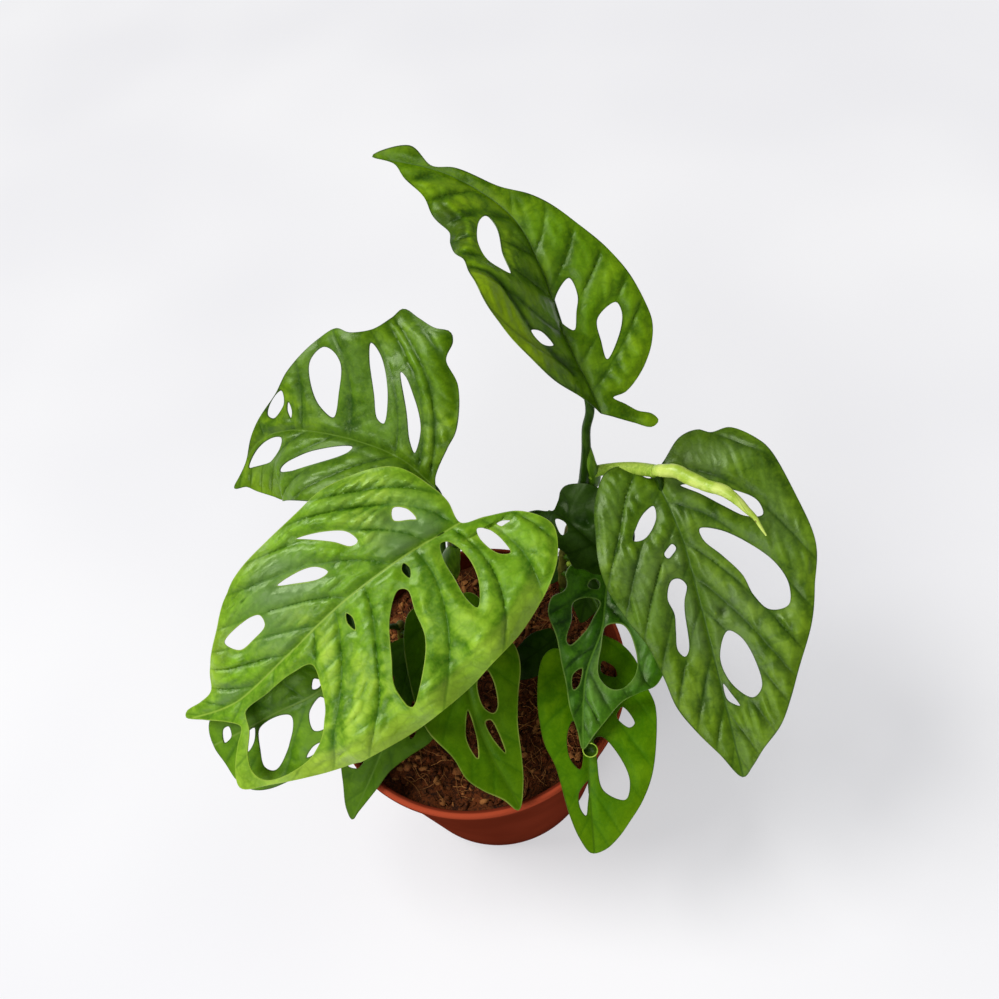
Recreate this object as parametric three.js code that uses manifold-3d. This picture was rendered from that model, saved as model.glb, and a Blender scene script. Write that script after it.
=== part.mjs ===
// Monstera adansonii, the Swiss cheese vine, growing in a round plastic nursery pot.
// Units are millimetres and +Z is up. The origin is the middle of the pot's base.
import * as THREE from "three";
import { mergeVertices } from "three/addons/utils/BufferGeometryUtils.js";
import Module from "manifold-3d";

const wasm = await Module();
wasm.setup();

// ---- driving dimensions ----
const GAP = 0.3; // room between touching pieces

const POT_HEIGHT = 85;
const POT_RIM_RADIUS = 60;
const POT_BASE_RADIUS = 42;
const POT_WALL = 1.6;
const LIP_HEIGHT = 4;
const LIP_REACH = 1.2; // how far the rolled lip stands out from the wall
const LIP_ROUND = 1; // size of the lip's rounded edges
const POT_FOOT = 2; // height of the slope between the base and the wall
const POT_SIDES = 40;
const DRAIN_COUNT = 6;
const DRAIN_RADIUS = 4;
const DRAIN_CIRCLE_RADIUS = 29;

const SOIL_TOP = 78;
const SOIL_RELIEF = 1.1; // how far the lumps rise and fall
const SOIL_SIDES = 30;
const SOIL_RINGS = 6;
const SOIL_EDGE = 3; // how far below its top the soil meets the wall
const SOIL_FOOT = 3; // how far its underside is narrower than the wall

const BLADE_THICKNESS = 0.8;
const EDGE_STEP = 4.8; // spacing of the vertices along a leaf's outline
const HOLE_STEP = 3.6; // and round its holes
const INNER_STEP = 8.5; // and inside the blade
const INNER_JITTER = 0.03; // share of a step by which the inner vertices leave their even rows
const INNER_CLEAR = 2.6; // least distance from an inner vertex to an edge
const RIB_CLEAR = 3.2; // least distance from an inner vertex to the midrib line

const STALK_SIDES = 6;
const STALK_STEP = 6; // length of one step along a stalk
const RIB_START = 3; // where the stalk meets the midrib, from the blade's base
const RIB_REACH = 0.72; // share of the blade's length over which the midrib stands out below
const RIB_END_RADIUS = 0.5;
const STEM_SIDES = 8;
const STEM_STEP = 4;
const NODE_SWELL = 0.4; // how much thicker a stem is where a leaf stalk leaves it
const NODE_SPREAD = 2.5;
const NEW_LEAF_STEP = 2.5;
const WAVE_REACH = 30; // distance from the rib at which a leaf's waves have their stated height
const TURN_REACH = 0.4; // distance along a rib to each side over which its direction is taken
const ARC_DIVISIONS = 400;

// ---- stems: path from below the soil's surface to the top, and heights of the leaf joints ----
const STEMS = {
  stem_right: {
    path: [
      [38, 23, 50], [43, 26, 64], [45, 27, 76], [46, 28, 94], [49, 30, 109], [55, 32, 124],
      [60, 34, 136],
    ],
    radius: 1.6,
    joints: [82, 87, 95, 104, 117, 134],
  },
  stem_left: {
    path: [[-3, 44, 46], [-2, 42, 76], [0, 38, 95], [3, 34, 115], [6, 30, 134]],
    radius: 1.9,
    joints: [88, 97, 131],
  },
  stem_mid: {
    path: [[-27, 30, 50], [-26, 28, 76], [-25, 26, 88], [-24, 24, 98]],
    radius: 1.7,
    joints: [84, 94],
  },
};

// ---- leaves ----
// rib: midrib from the stalk to the tip, in the part's frame.
// up: the way the upper face looks.
// fold: degrees by which the left and the right half rise from the rib, each at the base and at the tip.
// curl: how fast each half bends down again, in radians per mm, likewise.
// wave: height of the margin's waves at WAVE_REACH from the rib, their length, and where they start.
// turn: how far along the rib its direction is averaged, where the rib bends sharply.
// outline and holes: the blade pressed flat, as [distance along the rib, distance to the left of it].
// stalk: path from the stem to the blade. base and neck: its radii. foot: length of its thicker foot.
// sheath: path and radii of the sheath that stands on the stalk's foot, where the leaf has one.
const LEAVES = {
  leaf_top: {
    rib: [[66, 36, 190], [63, 50, 201], [62, 71, 216], [58, 89, 227], [41, 104, 240], [17, 117, 247]],
    up: [0.15, -0.75, 0.65],
    fold: [[52, 30], [14, 14]],
    curl: [[0.006, 0.006], [0.004, 0.004]],
    wave: [0.8, 31, 0.5],
    turn: 22,
    outline: [
      [-7, -6], [-11, -9], [-15, -12], [-18, -16], [-21, -17], [-22, -14], [-18, -9], [-12, -2],
      [-3, 9], [6, 23], [16, 30], [26, 36], [34, 40], [43, 39], [56, 35], [64, 34], [75, 28], [80, 23],
      [91, 19], [97, 13], [106, 7], [112, 1], [120, 0], [108, -6], [99, -1], [91, -3], [76, -5],
      [67, -10], [54, -17], [43, -24], [29, -29], [15, -31], [6, -27], [-2, -20], [-7, -11],
    ],
    holes: [
      [[72, 14], [72, 9], [67, 10], [54, 17], [43, 20], [50, 26], [63, 24]],
      [[38, -8], [31, -9], [26, -7], [20, -4], [26, 0], [33, -1]],
      [[24, -21], [20, -22], [14, -19], [6, -10], [13, -11], [21, -13]],
      [[23, 22], [22, 15], [17, 11], [18, 19]],
    ],
    stalk: [[57, 34, 132], [60, 33, 140], [61, 32, 150], [62, 32, 161], [63, 33, 172], [65, 33, 182]],
    base: 2.6,
    neck: 1.65,
    foot: 40,
    sheath: {
      path: [[60, 33, 137], [63, 32, 141], [64, 31, 147], [63, 30, 155], [63, 31, 160], [63, 32, 164]],
      radii: [1.9, 2.8, 2.5, 2.1, 1.5, 0.7],
    },
    colour: 0x4f8f17,
  },
  leaf_back: {
    rib: [[5, 55, 138], [-4, 69, 143], [-22, 86, 145], [-46, 105, 140], [-61, 112, 131], [-76, 107, 117]],
    up: [-0.1, -0.62, 0.78],
    fold: [[26, 20], [10, 10]],
    curl: [[0.006, 0.006], [0.006, 0.006]],
    wave: [0.9, 26, 1.0],
    turn: 22,
    outline: [
      [2, -4], [4, -15], [5, -23], [13, -37], [20, -43], [21, -51], [23, -54], [27, -53], [33, -55],
      [38, -57], [40, -52], [44, -45], [50, -42], [55, -43], [62, -37], [70, -25], [76, -15], [89, -6],
      [103, 0], [117, 1], [112, 6], [109, 12], [102, 21], [95, 28], [78, 30], [56, 30], [30, 27],
      [16, 22], [3, 13], [-3, 4],
    ],
    holes: [
      [[59, -35], [55, -34], [51, -29], [50, -18], [51, -7], [58, -11], [62, -19], [63, -29]],
      [[43, -40], [39, -36], [32, -21], [30, -10], [33, -11], [37, -20], [42, -33]],
      [[31, -32], [29, -31], [24, -25], [16, -14], [14, -5], [18, -8], [24, -18]],
      [[73, -17], [73, -11], [79, -6], [81, -8]],
      [[71, -12], [70, -8], [71, -5], [72, -8]],
      [[77, 3], [79, 8], [91, 11], [102, 5], [104, 3], [95, 2]],
      [[39, 3], [40, 6], [49, 12], [67, 18], [80, 17], [66, 12], [56, 8]],
    ],
    stalk: [[0, 38, 96], [1, 43, 109], [4, 49, 124], [6, 53, 134]],
    base: 2,
    neck: 1.3,
    foot: 12,
    colour: 0x4c8b16,
  },
  leaf_front: {
    rib: [[7, 20, 156], [-13, 16, 153], [-40, 11, 143], [-67, 5, 128], [-90, 2, 114], [-112, 7, 104]],
    up: [-0.2, -0.5, 0.84],
    fold: [[8, 8], [8, 8]],
    curl: [[0.004, 0.004], [0.004, 0.004]],
    wave: [1.0, 34, 0],
    outline: [
      [-3, 0], [-3, -9], [-1, -16], [6, -28], [16, -34], [30, -37], [41, -36], [55, -36], [68, -35],
      [83, -32], [95, -25], [113, -15], [117, -8], [124, -5], [132, -3], [133, -1], [124, 2], [115, 5],
      [110, 9], [113, 15], [116, 23], [116, 30], [109, 33], [94, 43], [75, 49], [62, 52], [40, 53],
      [22, 51], [4, 47], [-10, 41], [-20, 35], [-27, 28], [-31, 18], [-24, 8], [-12, 3],
    ],
    holes: [
      [[15, -17], [11, -14], [10, -9], [12, -10], [17, -13]],
      [[-14, 7], [-16, 7], [-18, 8], [-19, 9], [-17, 9], [-15, 9]],
      [[48, -29], [38, -24], [32, -19], [31, -14], [34, -14], [38, -19], [45, -26]],
      [[63, -21], [53, -19], [48, -16], [46, -12], [50, -12], [58, -17]],
      [[95, -20], [87, -21], [76, -18], [77, -14], [85, -13], [92, -14]],
      [[7, 3], [4, 4], [1, 12], [2, 22], [7, 30], [9, 25], [9, 17], [9, 9]],
      [[-7, 5], [-11, 8], [-13, 19], [-9, 17], [-6, 9]],
      [[22, 2], [21, 5], [23, 8], [24, 4]],
      [[29, 9], [26, 11], [28, 19], [30, 28], [36, 36], [48, 45], [53, 45], [53, 37], [46, 28], [37, 15]],
      [[50, 4], [49, 7], [51, 11], [52, 7]],
      [
        [106, 5], [94, 5], [82, 6], [73, 9], [75, 17], [80, 26], [90, 32], [98, 34], [108, 32],
        [111, 27], [111, 20], [108, 12],
      ],
    ],
    stalk: [[6, 30, 130], [8, 27, 141], [10, 23, 150]],
    base: 2.1,
    neck: 1.4,
    foot: 12,
    sheath: { path: [[2, 35, 104], [2, 33, 110], [3, 31, 121], [6, 29, 132]], radii: [2.4, 3.8, 3.8, 2.2] },
    colour: 0x74ab2a,
  },
  leaf_right: {
    rib: [[84, 16, 150], [85, -4, 143], [84, -27, 128], [82, -52, 112], [79, -79, 99]],
    up: [-0.2, -0.4, 0.9],
    fold: [[8, 8], [8, 8]],
    curl: [[0.004, 0.004], [0.004, 0.004]],
    wave: [1.0, 30, 0.8],
    outline: [
      [-3, -2], [-10, -8], [-12, -12], [-11, -17], [-4, -23], [4, -27], [18, -31], [33, -31], [46, -27],
      [57, -22], [70, -19], [81, -17], [91, -12], [100, -6], [109, 0], [106, 4], [101, 9], [94, 17],
      [85, 23], [76, 28], [61, 36], [51, 40], [36, 44], [20, 43], [6, 41], [-2, 38], [-9, 32],
      [-10, 25], [-13, 21], [-13, 14], [-7, 5],
    ],
    holes: [
      [[7, -5], [12, -6], [18, -13], [17, -17], [11, -13], [8, -9]],
      [[23, -4], [25, -3], [27, -5], [28, -7], [26, -8], [24, -6]],
      [
        [36, -8], [36, -5], [39, -3], [44, -5], [48, -6], [62, -8], [64, -10], [61, -12], [54, -11],
        [48, -10], [42, -11],
      ],
      [
        [21, 7], [23, 13], [29, 21], [38, 29], [47, 32], [54, 30], [54, 23], [48, 19], [40, 17],
        [32, 12], [25, 7],
      ],
      [[58, 7], [61, 11], [70, 14], [80, 14], [83, 10], [77, 4], [67, 2]],
      [[76, 1], [80, 3], [85, 5], [82, 1]],
      [[4, 7], [7, 14], [13, 23], [19, 30], [23, 30], [22, 24], [17, 18], [10, 12]],
    ],
    stalk: [[82, 18, 156], [84, 16, 153]],
    base: 1.8,
    neck: 1.3,
    foot: 8,
    sheath: {
      path: [[63, 31, 147], [65, 30, 150], [70, 29, 150], [77, 25, 152], [81, 21, 154], [83, 17, 157]],
      radii: [2, 2.2, 2.4, 2.4, 2.5, 2.4],
    },
    colour: 0x3f7d1c,
  },
  leaf_small: {
    rib: [[53, -9, 120], [49, -17, 118], [39, -28, 111], [33, -40, 104], [29, -51, 98]],
    up: [0, -0.5, 0.86],
    fold: [[8, 8], [8, 8]],
    curl: [[0.008, 0.008], [0.008, 0.008]],
    wave: [0.9, 22, 0],
    turn: 6,
    outline: [
      [-16, -2], [-15, -9], [-14, -14], [-10, -16], [-6, -15], [-3, -16], [0, -20], [8, -21], [13, -19],
      [19, -14], [25, -10], [31, -7], [39, -5], [47, -2], [54, 0], [49, 4], [44, 8], [36, 14], [31, 20],
      [25, 25], [15, 27], [1, 26], [-8, 20], [-11, 12], [-3, 4], [-13, 4],
    ],
    holes: [
      [[1, -12], [-2, -7], [-1, -2], [6, -4], [13, -6], [19, -9], [18, -11], [9, -12]],
      [[8, 1], [6, 7], [11, 13], [17, 17], [24, 17], [30, 14], [31, 10], [27, 5], [16, 2]],
      [[25, -2], [31, -2], [33, -4], [28, -5]],
      [[-6, -7], [-8, -7], [-10, -5], [-9, -3], [-6, -3]],
    ],
    stalk: [[48, 29, 103], [52, 19, 110], [55, 7, 115], [55, -2, 118]],
    base: 1.6,
    neck: 1.1,
    foot: 9,
    sheath: { path: [[49, 27, 99], [51, 26, 103], [52, 26, 108], [53, 23, 112]], radii: [1.4, 2.2, 2.1, 1] },
    colour: 0x2f6417,
  },
  leaf_low_right: {
    rib: [[48, -11, 99], [38, -33, 98], [30, -53, 92], [22, -80, 71]],
    up: [0, -0.4, 0.9],
    fold: [[6, 6], [6, 6]],
    curl: [[0.004, 0.004], [0.004, 0.004]],
    wave: [0.8, 27, 2],
    outline: [
      [-3, 0], [-1, 8], [5, 15], [15, 20], [24, 24], [38, 25], [53, 23], [63, 19], [70, 14], [76, 9],
      [80, 4], [81, -1], [75, -5], [66, -8], [49, -12], [42, -16], [36, -18], [26, -20], [12, -20],
      [7, -17], [6, -12], [4, -7], [-2, -4],
    ],
    holes: [
      [[33, -6], [38, -8], [46, -7], [50, -3], [41, -2]],
      [[54, 0], [63, -1], [67, -2], [64, -4], [58, -4]],
      [[39, 2], [38, 5], [46, 12], [55, 15], [62, 13], [58, 5], [46, 3]],
      [[26, 12], [32, 17], [34, 15], [30, 10]],
      [[8, 3], [10, 8], [14, 9], [13, 3]],
      [[11, -8], [11, -4], [15, -3], [21, -4], [22, -8], [16, -11]],
    ],
    stalk: [[46, 28, 94], [51, 17, 97], [54, 5, 98], [52, -4, 98]],
    base: 1.6,
    neck: 1.2,
    foot: 9,
    colour: 0x3c7a12,
  },
  leaf_low_middle: {
    rib: [[-2, 13, 112], [-4, -7, 110], [-5, -35, 104], [1, -62, 90]],
    up: [0.1, -0.3, 0.9],
    fold: [[6, 6], [6, 6]],
    curl: [[0.004, 0.004], [0.004, 0.004]],
    wave: [0.8, 26, 1],
    outline: [
      [-4, 0], [-7, 4], [-7, 8], [-4, 11], [1, 13], [8, 16], [20, 21], [28, 21], [38, 18], [51, 14],
      [63, 10], [73, 5], [80, -1], [74, -4], [67, -9], [61, -12], [53, -13], [44, -18], [37, -20],
      [20, -21], [6, -20], [-2, -17], [-6, -9],
    ],
    holes: [
      [[30, 4], [26, 8], [32, 10], [42, 9], [44, 7], [41, 4]],
      [[46, 3], [46, 5], [52, 6], [60, 5], [52, 3]],
      [[40, -2], [50, -2], [57, -5], [50, -6], [44, -4]],
    ],
    stalk: [[-1, 40, 87], [-3, 33, 97], [-3, 24, 105], [-2, 18, 109]],
    base: 1.9,
    neck: 1.2,
    foot: 9,
    colour: 0x427f14,
  },
  leaf_low_left: {
    rib: [[-21, 7, 104], [-32, -13, 101], [-45, -28, 93], [-61, -41, 79]],
    up: [-0.1, -0.3, 0.9],
    fold: [[6, 6], [6, 6]],
    curl: [[0.004, 0.004], [0.004, 0.004]],
    wave: [0.7, 24, 0.5],
    outline: [
      [-2, 0], [-5, 4], [-2, 9], [8, 16], [20, 18], [30, 17], [38, 11], [46, 6], [54, 4], [66, 1],
      [70, 0], [67, -4], [59, -9], [54, -12], [40, -18], [25, -20], [10, -17], [0, -10], [-4, -4],
    ],
    holes: [
      [[52, -10], [48, -7], [46, -5], [51, -6]],
      [[20, 5], [27, 10], [33, 9], [27, 5]],
      [[12, -5], [18, -12], [27, -13], [26, -7]],
    ],
    stalk: [[-25, 27, 84], [-24, 22, 94], [-21, 14, 101]],
    base: 1.7,
    neck: 1.1,
    foot: 8,
    colour: 0x3a7513,
  },
  leaf_shaded: {
    rib: [[58, 8, 131], [53, 14, 136], [49, 22, 137], [45, 29, 135], [37, 36, 129]],
    up: [0.25, -0.75, 0.6],
    fold: [[10, 10], [25, 25]],
    curl: [[0.01, 0.01], [0.01, 0.01]],
    wave: [0.8, 19, 0],
    outline: [
      [39, 0], [34, -1], [29, 0], [25, -1], [24, -5], [24, -9], [23, -12], [18, -16], [11, -18],
      [2, -17], [-6, -12], [-8, -6], [-2, -1], [-8, 4], [-3, 9], [1, 10], [4, 12], [7, 11], [9, 10],
      [14, 11], [20, 10], [27, 7], [34, 3],
    ],
    holes: [
      [[22, 2], [18, 1], [14, 3], [14, 6], [18, 5]],
    ],
    stalk: [[52, 31, 117], [57, 25, 118], [62, 16, 121], [62, 8, 126]],
    base: 1.6,
    neck: 1,
    foot: 7,
    colour: 0x2a5a14,
  },
  leaf_tucked: {
    rib: [[-47, 3, 113], [-61, -3, 111], [-78, -3, 106], [-91, -3, 101], [-105, -2, 95]],
    up: [-0.2, -0.5, 0.84],
    fold: [[4, 4], [4, 4]],
    curl: [[0.004, 0.004], [0.004, 0.004]],
    wave: [0.6, 24, 1],
    outline: [
      [-3, -2], [2, -8], [12, -13], [25, -15], [40, -16], [54, -13], [61, -8], [63, 0], [61, 8],
      [59, 16], [55, 21], [48, 24], [37, 25], [25, 25], [14, 21], [4, 13], [-3, 5],
    ],
    holes: [
      [[15, -2], [12, -5], [10, -2], [13, -1]],
      [[14, 2], [13, 7], [17, 13], [21, 12], [20, 5]],
      [[41, 2], [27, 3], [28, 8], [35, 15], [43, 19], [46, 16], [45, 10]],
      [[46, 1], [43, 1], [46, 6], [50, 8], [50, 4]],
      [[56, -4], [53, -4], [54, 0], [58, 1]],
      [[20, 17], [24, 20], [27, 20], [23, 17]],
    ],
    stalk: [[-24, 25, 94], [-29, 21, 103], [-37, 12, 110], [-43, 6, 112]],
    base: 1.7,
    neck: 1.1,
    foot: 8,
    colour: 0x467d18,
  },
  leaf_ground: {
    rib: [[32, -1, 92], [23, -5, 93], [9, -7, 88]],
    up: [0, -0.4, 0.9],
    fold: [[6, 6], [6, 6]],
    curl: [[0.004, 0.004], [0.004, 0.004]],
    wave: [0.5, 17, 0],
    outline: [
      [-3, 0], [-3, -4], [1, -6], [6, -7], [12, -6], [19, -4], [25, 0], [18, 6], [10, 8], [2, 7],
      [-3, 3],
    ],
    holes: [],
    stalk: [[45, 27, 82], [44, 19, 87], [40, 9, 90], [35, 2, 91]],
    base: 1.6,
    neck: 1,
    foot: 7,
    colour: 0x2c5c12,
  },
  leaf_behind: {
    rib: [[47, 37, 88], [52, 30, 89], [54, 21, 88], [48, 9, 87]],
    up: [0, -0.2, 0.95],
    fold: [[4, 4], [4, 4]],
    curl: [[0.004, 0.004], [0.004, 0.004]],
    wave: [0.5, 19, 0],
    outline: [
      [-2, 0], [-3, -5], [-3, -10], [1, -12], [5, -9], [7, -5], [11, -4], [16, -5], [21, -6], [27, -5],
      [32, -2], [35, 0], [31, 4], [24, 7], [16, 7], [8, 7], [1, 6],
    ],
    holes: [],
    stalk: [[46, 28, 85], [45, 33, 86], [46, 36, 87]],
    base: 1.5,
    neck: 0.9,
    foot: 6,
    colour: 0x2c5c12,
  },
};

// ---- the young leaf, still rolled up, which grows out of the right leaf's sheath ----
const NEW_LEAF = {
  path: [
    [83, 19, 155], [84, 15, 159], [88, 11, 162], [92, 6, 162], [96, 1, 162], [101, -4, 162],
    [104, -8, 160], [106, -11, 158], [108, -14, 156], [109, -17, 154], [110, -20, 152],
  ],
  radii: [1.4, 2.5, 2.6, 2.65, 2.6, 2.4, 2.2, 1.8, 1.3, 0.8, 0.3],
};

// ---- small helpers ----
const vec = (p) => new THREE.Vector3(p[0], p[1], p[2] ?? 0);
const smooth = (t) => {
  const c = Math.min(1, Math.max(0, t));
  return c * c * (3 - 2 * c);
};
const mix = (pair, w) => pair[0] + (pair[1] - pair[0]) * w;

// A closed BufferGeometry as a solid that can be joined and cut.
function solidOf(geometry) {
  const bare = geometry.clone();
  bare.deleteAttribute("normal");
  bare.deleteAttribute("uv");
  const merged = mergeVertices(bare, 1e-4);
  return new wasm.Manifold(
    new wasm.Mesh({
      numProp: 3,
      vertProperties: merged.attributes.position.array,
      triVerts: new Uint32Array(merged.index.array),
    }),
  );
}

// And back again.
function geometryOf(solid) {
  const mesh = solid.getMesh();
  const geometry = new THREE.BufferGeometry();
  geometry.setAttribute("position", new THREE.BufferAttribute(new Float32Array(mesh.vertProperties), 3));
  geometry.setIndex(new THREE.BufferAttribute(new Uint32Array(mesh.triVerts), 1));
  geometry.computeVertexNormals();
  return geometry;
}

function geometryFrom(points, triangles) {
  const geometry = new THREE.BufferGeometry();
  geometry.setAttribute("position", new THREE.Float32BufferAttribute(points.flatMap((p) => p.toArray()), 3));
  geometry.setIndex(triangles.flat());
  return geometry;
}

// A closed round bar along a list of points, with a radius for each point and flat ends.
// room widens and lengthens it evenly, for the opening that a neighbour leaves for it.
function bar(path, radii, sides, room = 0) {
  const last = path.length - 1;
  const points = path.map((p) => p.clone());
  points[0].add(path[0].clone().sub(path[1]).setLength(room));
  points[last].add(path[last].clone().sub(path[last - 1]).setLength(room));
  let side = null;
  const verts = [];
  points.forEach((p, i) => {
    const along = points[Math.min(last, i + 1)].clone().sub(points[Math.max(0, i - 1)]).normalize();
    const guess = side ?? (Math.abs(along.z) > 0.9 ? new THREE.Vector3(1, 0, 0) : new THREE.Vector3(0, 0, 1));
    side = guess.clone().addScaledVector(along, -guess.dot(along)).normalize();
    const across = along.clone().cross(side);
    for (let k = 0; k < sides; k++) {
      const a = (2 * Math.PI * k) / sides;
      const out = side.clone().multiplyScalar(Math.cos(a)).addScaledVector(across, Math.sin(a));
      verts.push(p.clone().addScaledVector(out, radii[i] + room));
    }
  });
  const triangles = [];
  for (let i = 0; i < last; i++) {
    for (let k = 0; k < sides; k++) {
      const a = i * sides + k;
      const b = i * sides + ((k + 1) % sides);
      triangles.push([a, b, b + sides], [a, b + sides, a + sides]);
    }
  }
  for (let k = 1; k < sides - 1; k++) {
    triangles.push([0, k + 1, k], [last * sides, last * sides + k, last * sides + k + 1]);
  }
  return geometryFrom(verts, triangles);
}

// The same along a smooth line through a few points, each with its radius.
function limb({ path, radii }, step, sides, room = 0) {
  const curve = new THREE.CatmullRomCurve3(path.map(vec), false, "centripetal");
  const count = Math.max(2, Math.round(curve.getLength() / step));
  const rings = [...Array(count + 1).keys()].map((i) => {
    const place = (i / count) * (radii.length - 1);
    const k = Math.min(radii.length - 2, Math.floor(place));
    return mix([radii[k], radii[k + 1]], place - k);
  });
  const points = rings.map((_, i) => curve.getPoint(i / count));
  return bar(points, rings, sides, room);
}

// ---- the blade's surface ----
// Gives the point, and the frame of the rib, for any place on the pressed-flat blade.
function bladeSurface(leaf) {
  const curve = new THREE.CatmullRomCurve3(leaf.rib.map(vec), false, "centripetal");
  curve.arcLengthDivisions = ARC_DIVISIONS;
  const length = curve.getLength();
  const hint = vec(leaf.up).normalize();
  const rib = (u) => {
    const s = Math.min(length, Math.max(0, u));
    const reach = leaf.turn ?? TURN_REACH;
    const before = curve.getPointAt(Math.max(0, s - reach) / length);
    const along = curve.getPointAt(Math.min(length, s + reach) / length).sub(before).normalize();
    const point = curve.getPointAt(s / length).addScaledVector(along, u - s);
    const normal = hint.clone().addScaledVector(along, -hint.dot(along)).normalize();
    return { point, along, normal, left: normal.clone().cross(along) };
  };
  const at = (u, v) => {
    const { point, normal, left } = rib(u);
    const w = smooth(u / length);
    const half = v >= 0 ? 0 : 1;
    const rise = THREE.MathUtils.degToRad(mix(leaf.fold[half], w));
    const bend = mix(leaf.curl[half], w);
    const d = Math.abs(v);
    const out = (Math.sin(rise) - Math.sin(rise - bend * d)) / bend;
    const lift = (Math.cos(rise - bend * d) - Math.cos(rise)) / bend;
    const [size, pitch, start] = leaf.wave;
    const ripple = size * (d / WAVE_REACH) ** 2 * Math.sin((2 * Math.PI * u) / pitch + start + half);
    return point.addScaledVector(left, Math.sign(v) * out).addScaledVector(normal, lift + ripple);
  };
  return { at, rib, length };
}

// ---- flat outlines ----
// A smooth closed line through a few points, cut into even steps.
function loop(points, step) {
  const curve = new THREE.CatmullRomCurve3(points.map(vec), true, "centripetal");
  const count = Math.max(8, Math.round(curve.getLength() / step));
  return curve.getSpacedPoints(count).slice(0, count).map((p) => [p.x, p.y]);
}

function inside(polygon, [x, y]) {
  let hit = false;
  polygon.forEach(([x1, y1], i) => {
    const [x0, y0] = polygon[(i + polygon.length - 1) % polygon.length];
    if (y0 > y !== y1 > y && x < ((x1 - x0) * (y - y0)) / (y1 - y0) + x0) {
      hit = !hit;
    }
  });
  return hit;
}

function distanceTo(polygon, [x, y]) {
  let best = Infinity;
  polygon.forEach(([x1, y1], i) => {
    const [x0, y0] = polygon[(i + polygon.length - 1) % polygon.length];
    const dx = x1 - x0;
    const dy = y1 - y0;
    const t = Math.min(1, Math.max(0, ((x - x0) * dx + (y - y0) * dy) / (dx * dx + dy * dy)));
    best = Math.min(best, Math.hypot(x - x0 - t * dx, y - y0 - t * dy));
  });
  return best;
}

// Delaunay triangles of a set of points, by adding one point at a time.
function delaunay(points) {
  const far = 1e4;
  const all = [...points, [-far, -far], [far, -far], [0, far]];
  const n = points.length;
  const circle = (a, b, c) => {
    const [ax, ay] = all[a];
    const [bx, by] = all[b];
    const [cx, cy] = all[c];
    const d = 2 * (ax * (by - cy) + bx * (cy - ay) + cx * (ay - by));
    const a2 = ax * ax + ay * ay;
    const b2 = bx * bx + by * by;
    const c2 = cx * cx + cy * cy;
    const x = (a2 * (by - cy) + b2 * (cy - ay) + c2 * (ay - by)) / d;
    const y = (a2 * (cx - bx) + b2 * (ax - cx) + c2 * (bx - ax)) / d;
    return { verts: [a, b, c], x, y, r2: (ax - x) ** 2 + (ay - y) ** 2 };
  };
  let triangles = [circle(n, n + 1, n + 2)];
  points.forEach(([px, py], i) => {
    const edges = new Map();
    triangles = triangles.filter((t) => {
      if ((px - t.x) ** 2 + (py - t.y) ** 2 >= t.r2) {
        return true;
      }
      for (let k = 0; k < 3; k++) {
        const a = t.verts[k];
        const b = t.verts[(k + 1) % 3];
        if (!edges.delete(`${b},${a}`)) {
          edges.set(`${a},${b}`, [a, b]);
        }
      }
      return false;
    });
    edges.forEach(([a, b]) => triangles.push(circle(a, b, i)));
  });
  return triangles.map((t) => t.verts).filter((t) => t.every((v) => v < n));
}

// The pressed-flat blade as triangles: its outline and its holes are all edges of the mesh.
function flatMesh(leaf, length) {
  let loops = [loop(leaf.outline, EDGE_STEP), ...leaf.holes.map((hole) => loop(hole, HOLE_STEP))];
  const open = (p) => inside(loops[0], p) && !loops.slice(1).some((hole) => inside(hole, p));
  const clear = (p, room) => loops.every((line) => distanceTo(line, p) > room);
  const inner = [];
  for (let u = 1; u < length; u += EDGE_STEP) {
    inner.push([u, 0]);
  }
  const row = INNER_STEP * Math.sqrt(0.75);
  const [us, vs] = [0, 1].map((k) => leaf.outline.map((p) => p[k]));
  for (let j = Math.floor(Math.min(...vs) / row); j * row < Math.max(...vs); j++) {
    for (let i = Math.floor(Math.min(...us) / INNER_STEP); i * INNER_STEP < Math.max(...us); i++) {
      const u = (i + (j % 2) / 2 + INNER_JITTER * Math.sin(7 * i + 3 * j)) * INNER_STEP;
      const v = (j + INNER_JITTER * Math.sin(5 * i - 4 * j)) * row;
      if (Math.abs(v) > RIB_CLEAR) {
        inner.push([u, v]);
      }
    }
  }
  const kept = inner.filter((p) => open(p) && clear(p, INNER_CLEAR));
  for (;;) {
    const points = [...loops.flat(), ...kept];
    const triangles = delaunay(points).filter((t) => {
      const middle = [0, 1].map((k) => (points[t[0]][k] + points[t[1]][k] + points[t[2]][k]) / 3);
      return open(middle);
    });
    const present = new Set(triangles.flatMap(([a, b, c]) => [`${a},${b}`, `${b},${c}`, `${c},${a}`]));
    let first = 0;
    let whole = true;
    const finer = loops.map((line) => {
      const next = line.flatMap((p, i) => {
        const j = (i + 1) % line.length;
        const a = first + i;
        const b = first + j;
        if (present.has(`${a},${b}`) || present.has(`${b},${a}`)) {
          return [p];
        }
        whole = false;
        return [p, [(p[0] + line[j][0]) / 2, (p[1] + line[j][1]) / 2]];
      });
      first += line.length;
      return next;
    });
    if (whole) {
      return { points, triangles };
    }
    loops = finer;
  }
}

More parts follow.
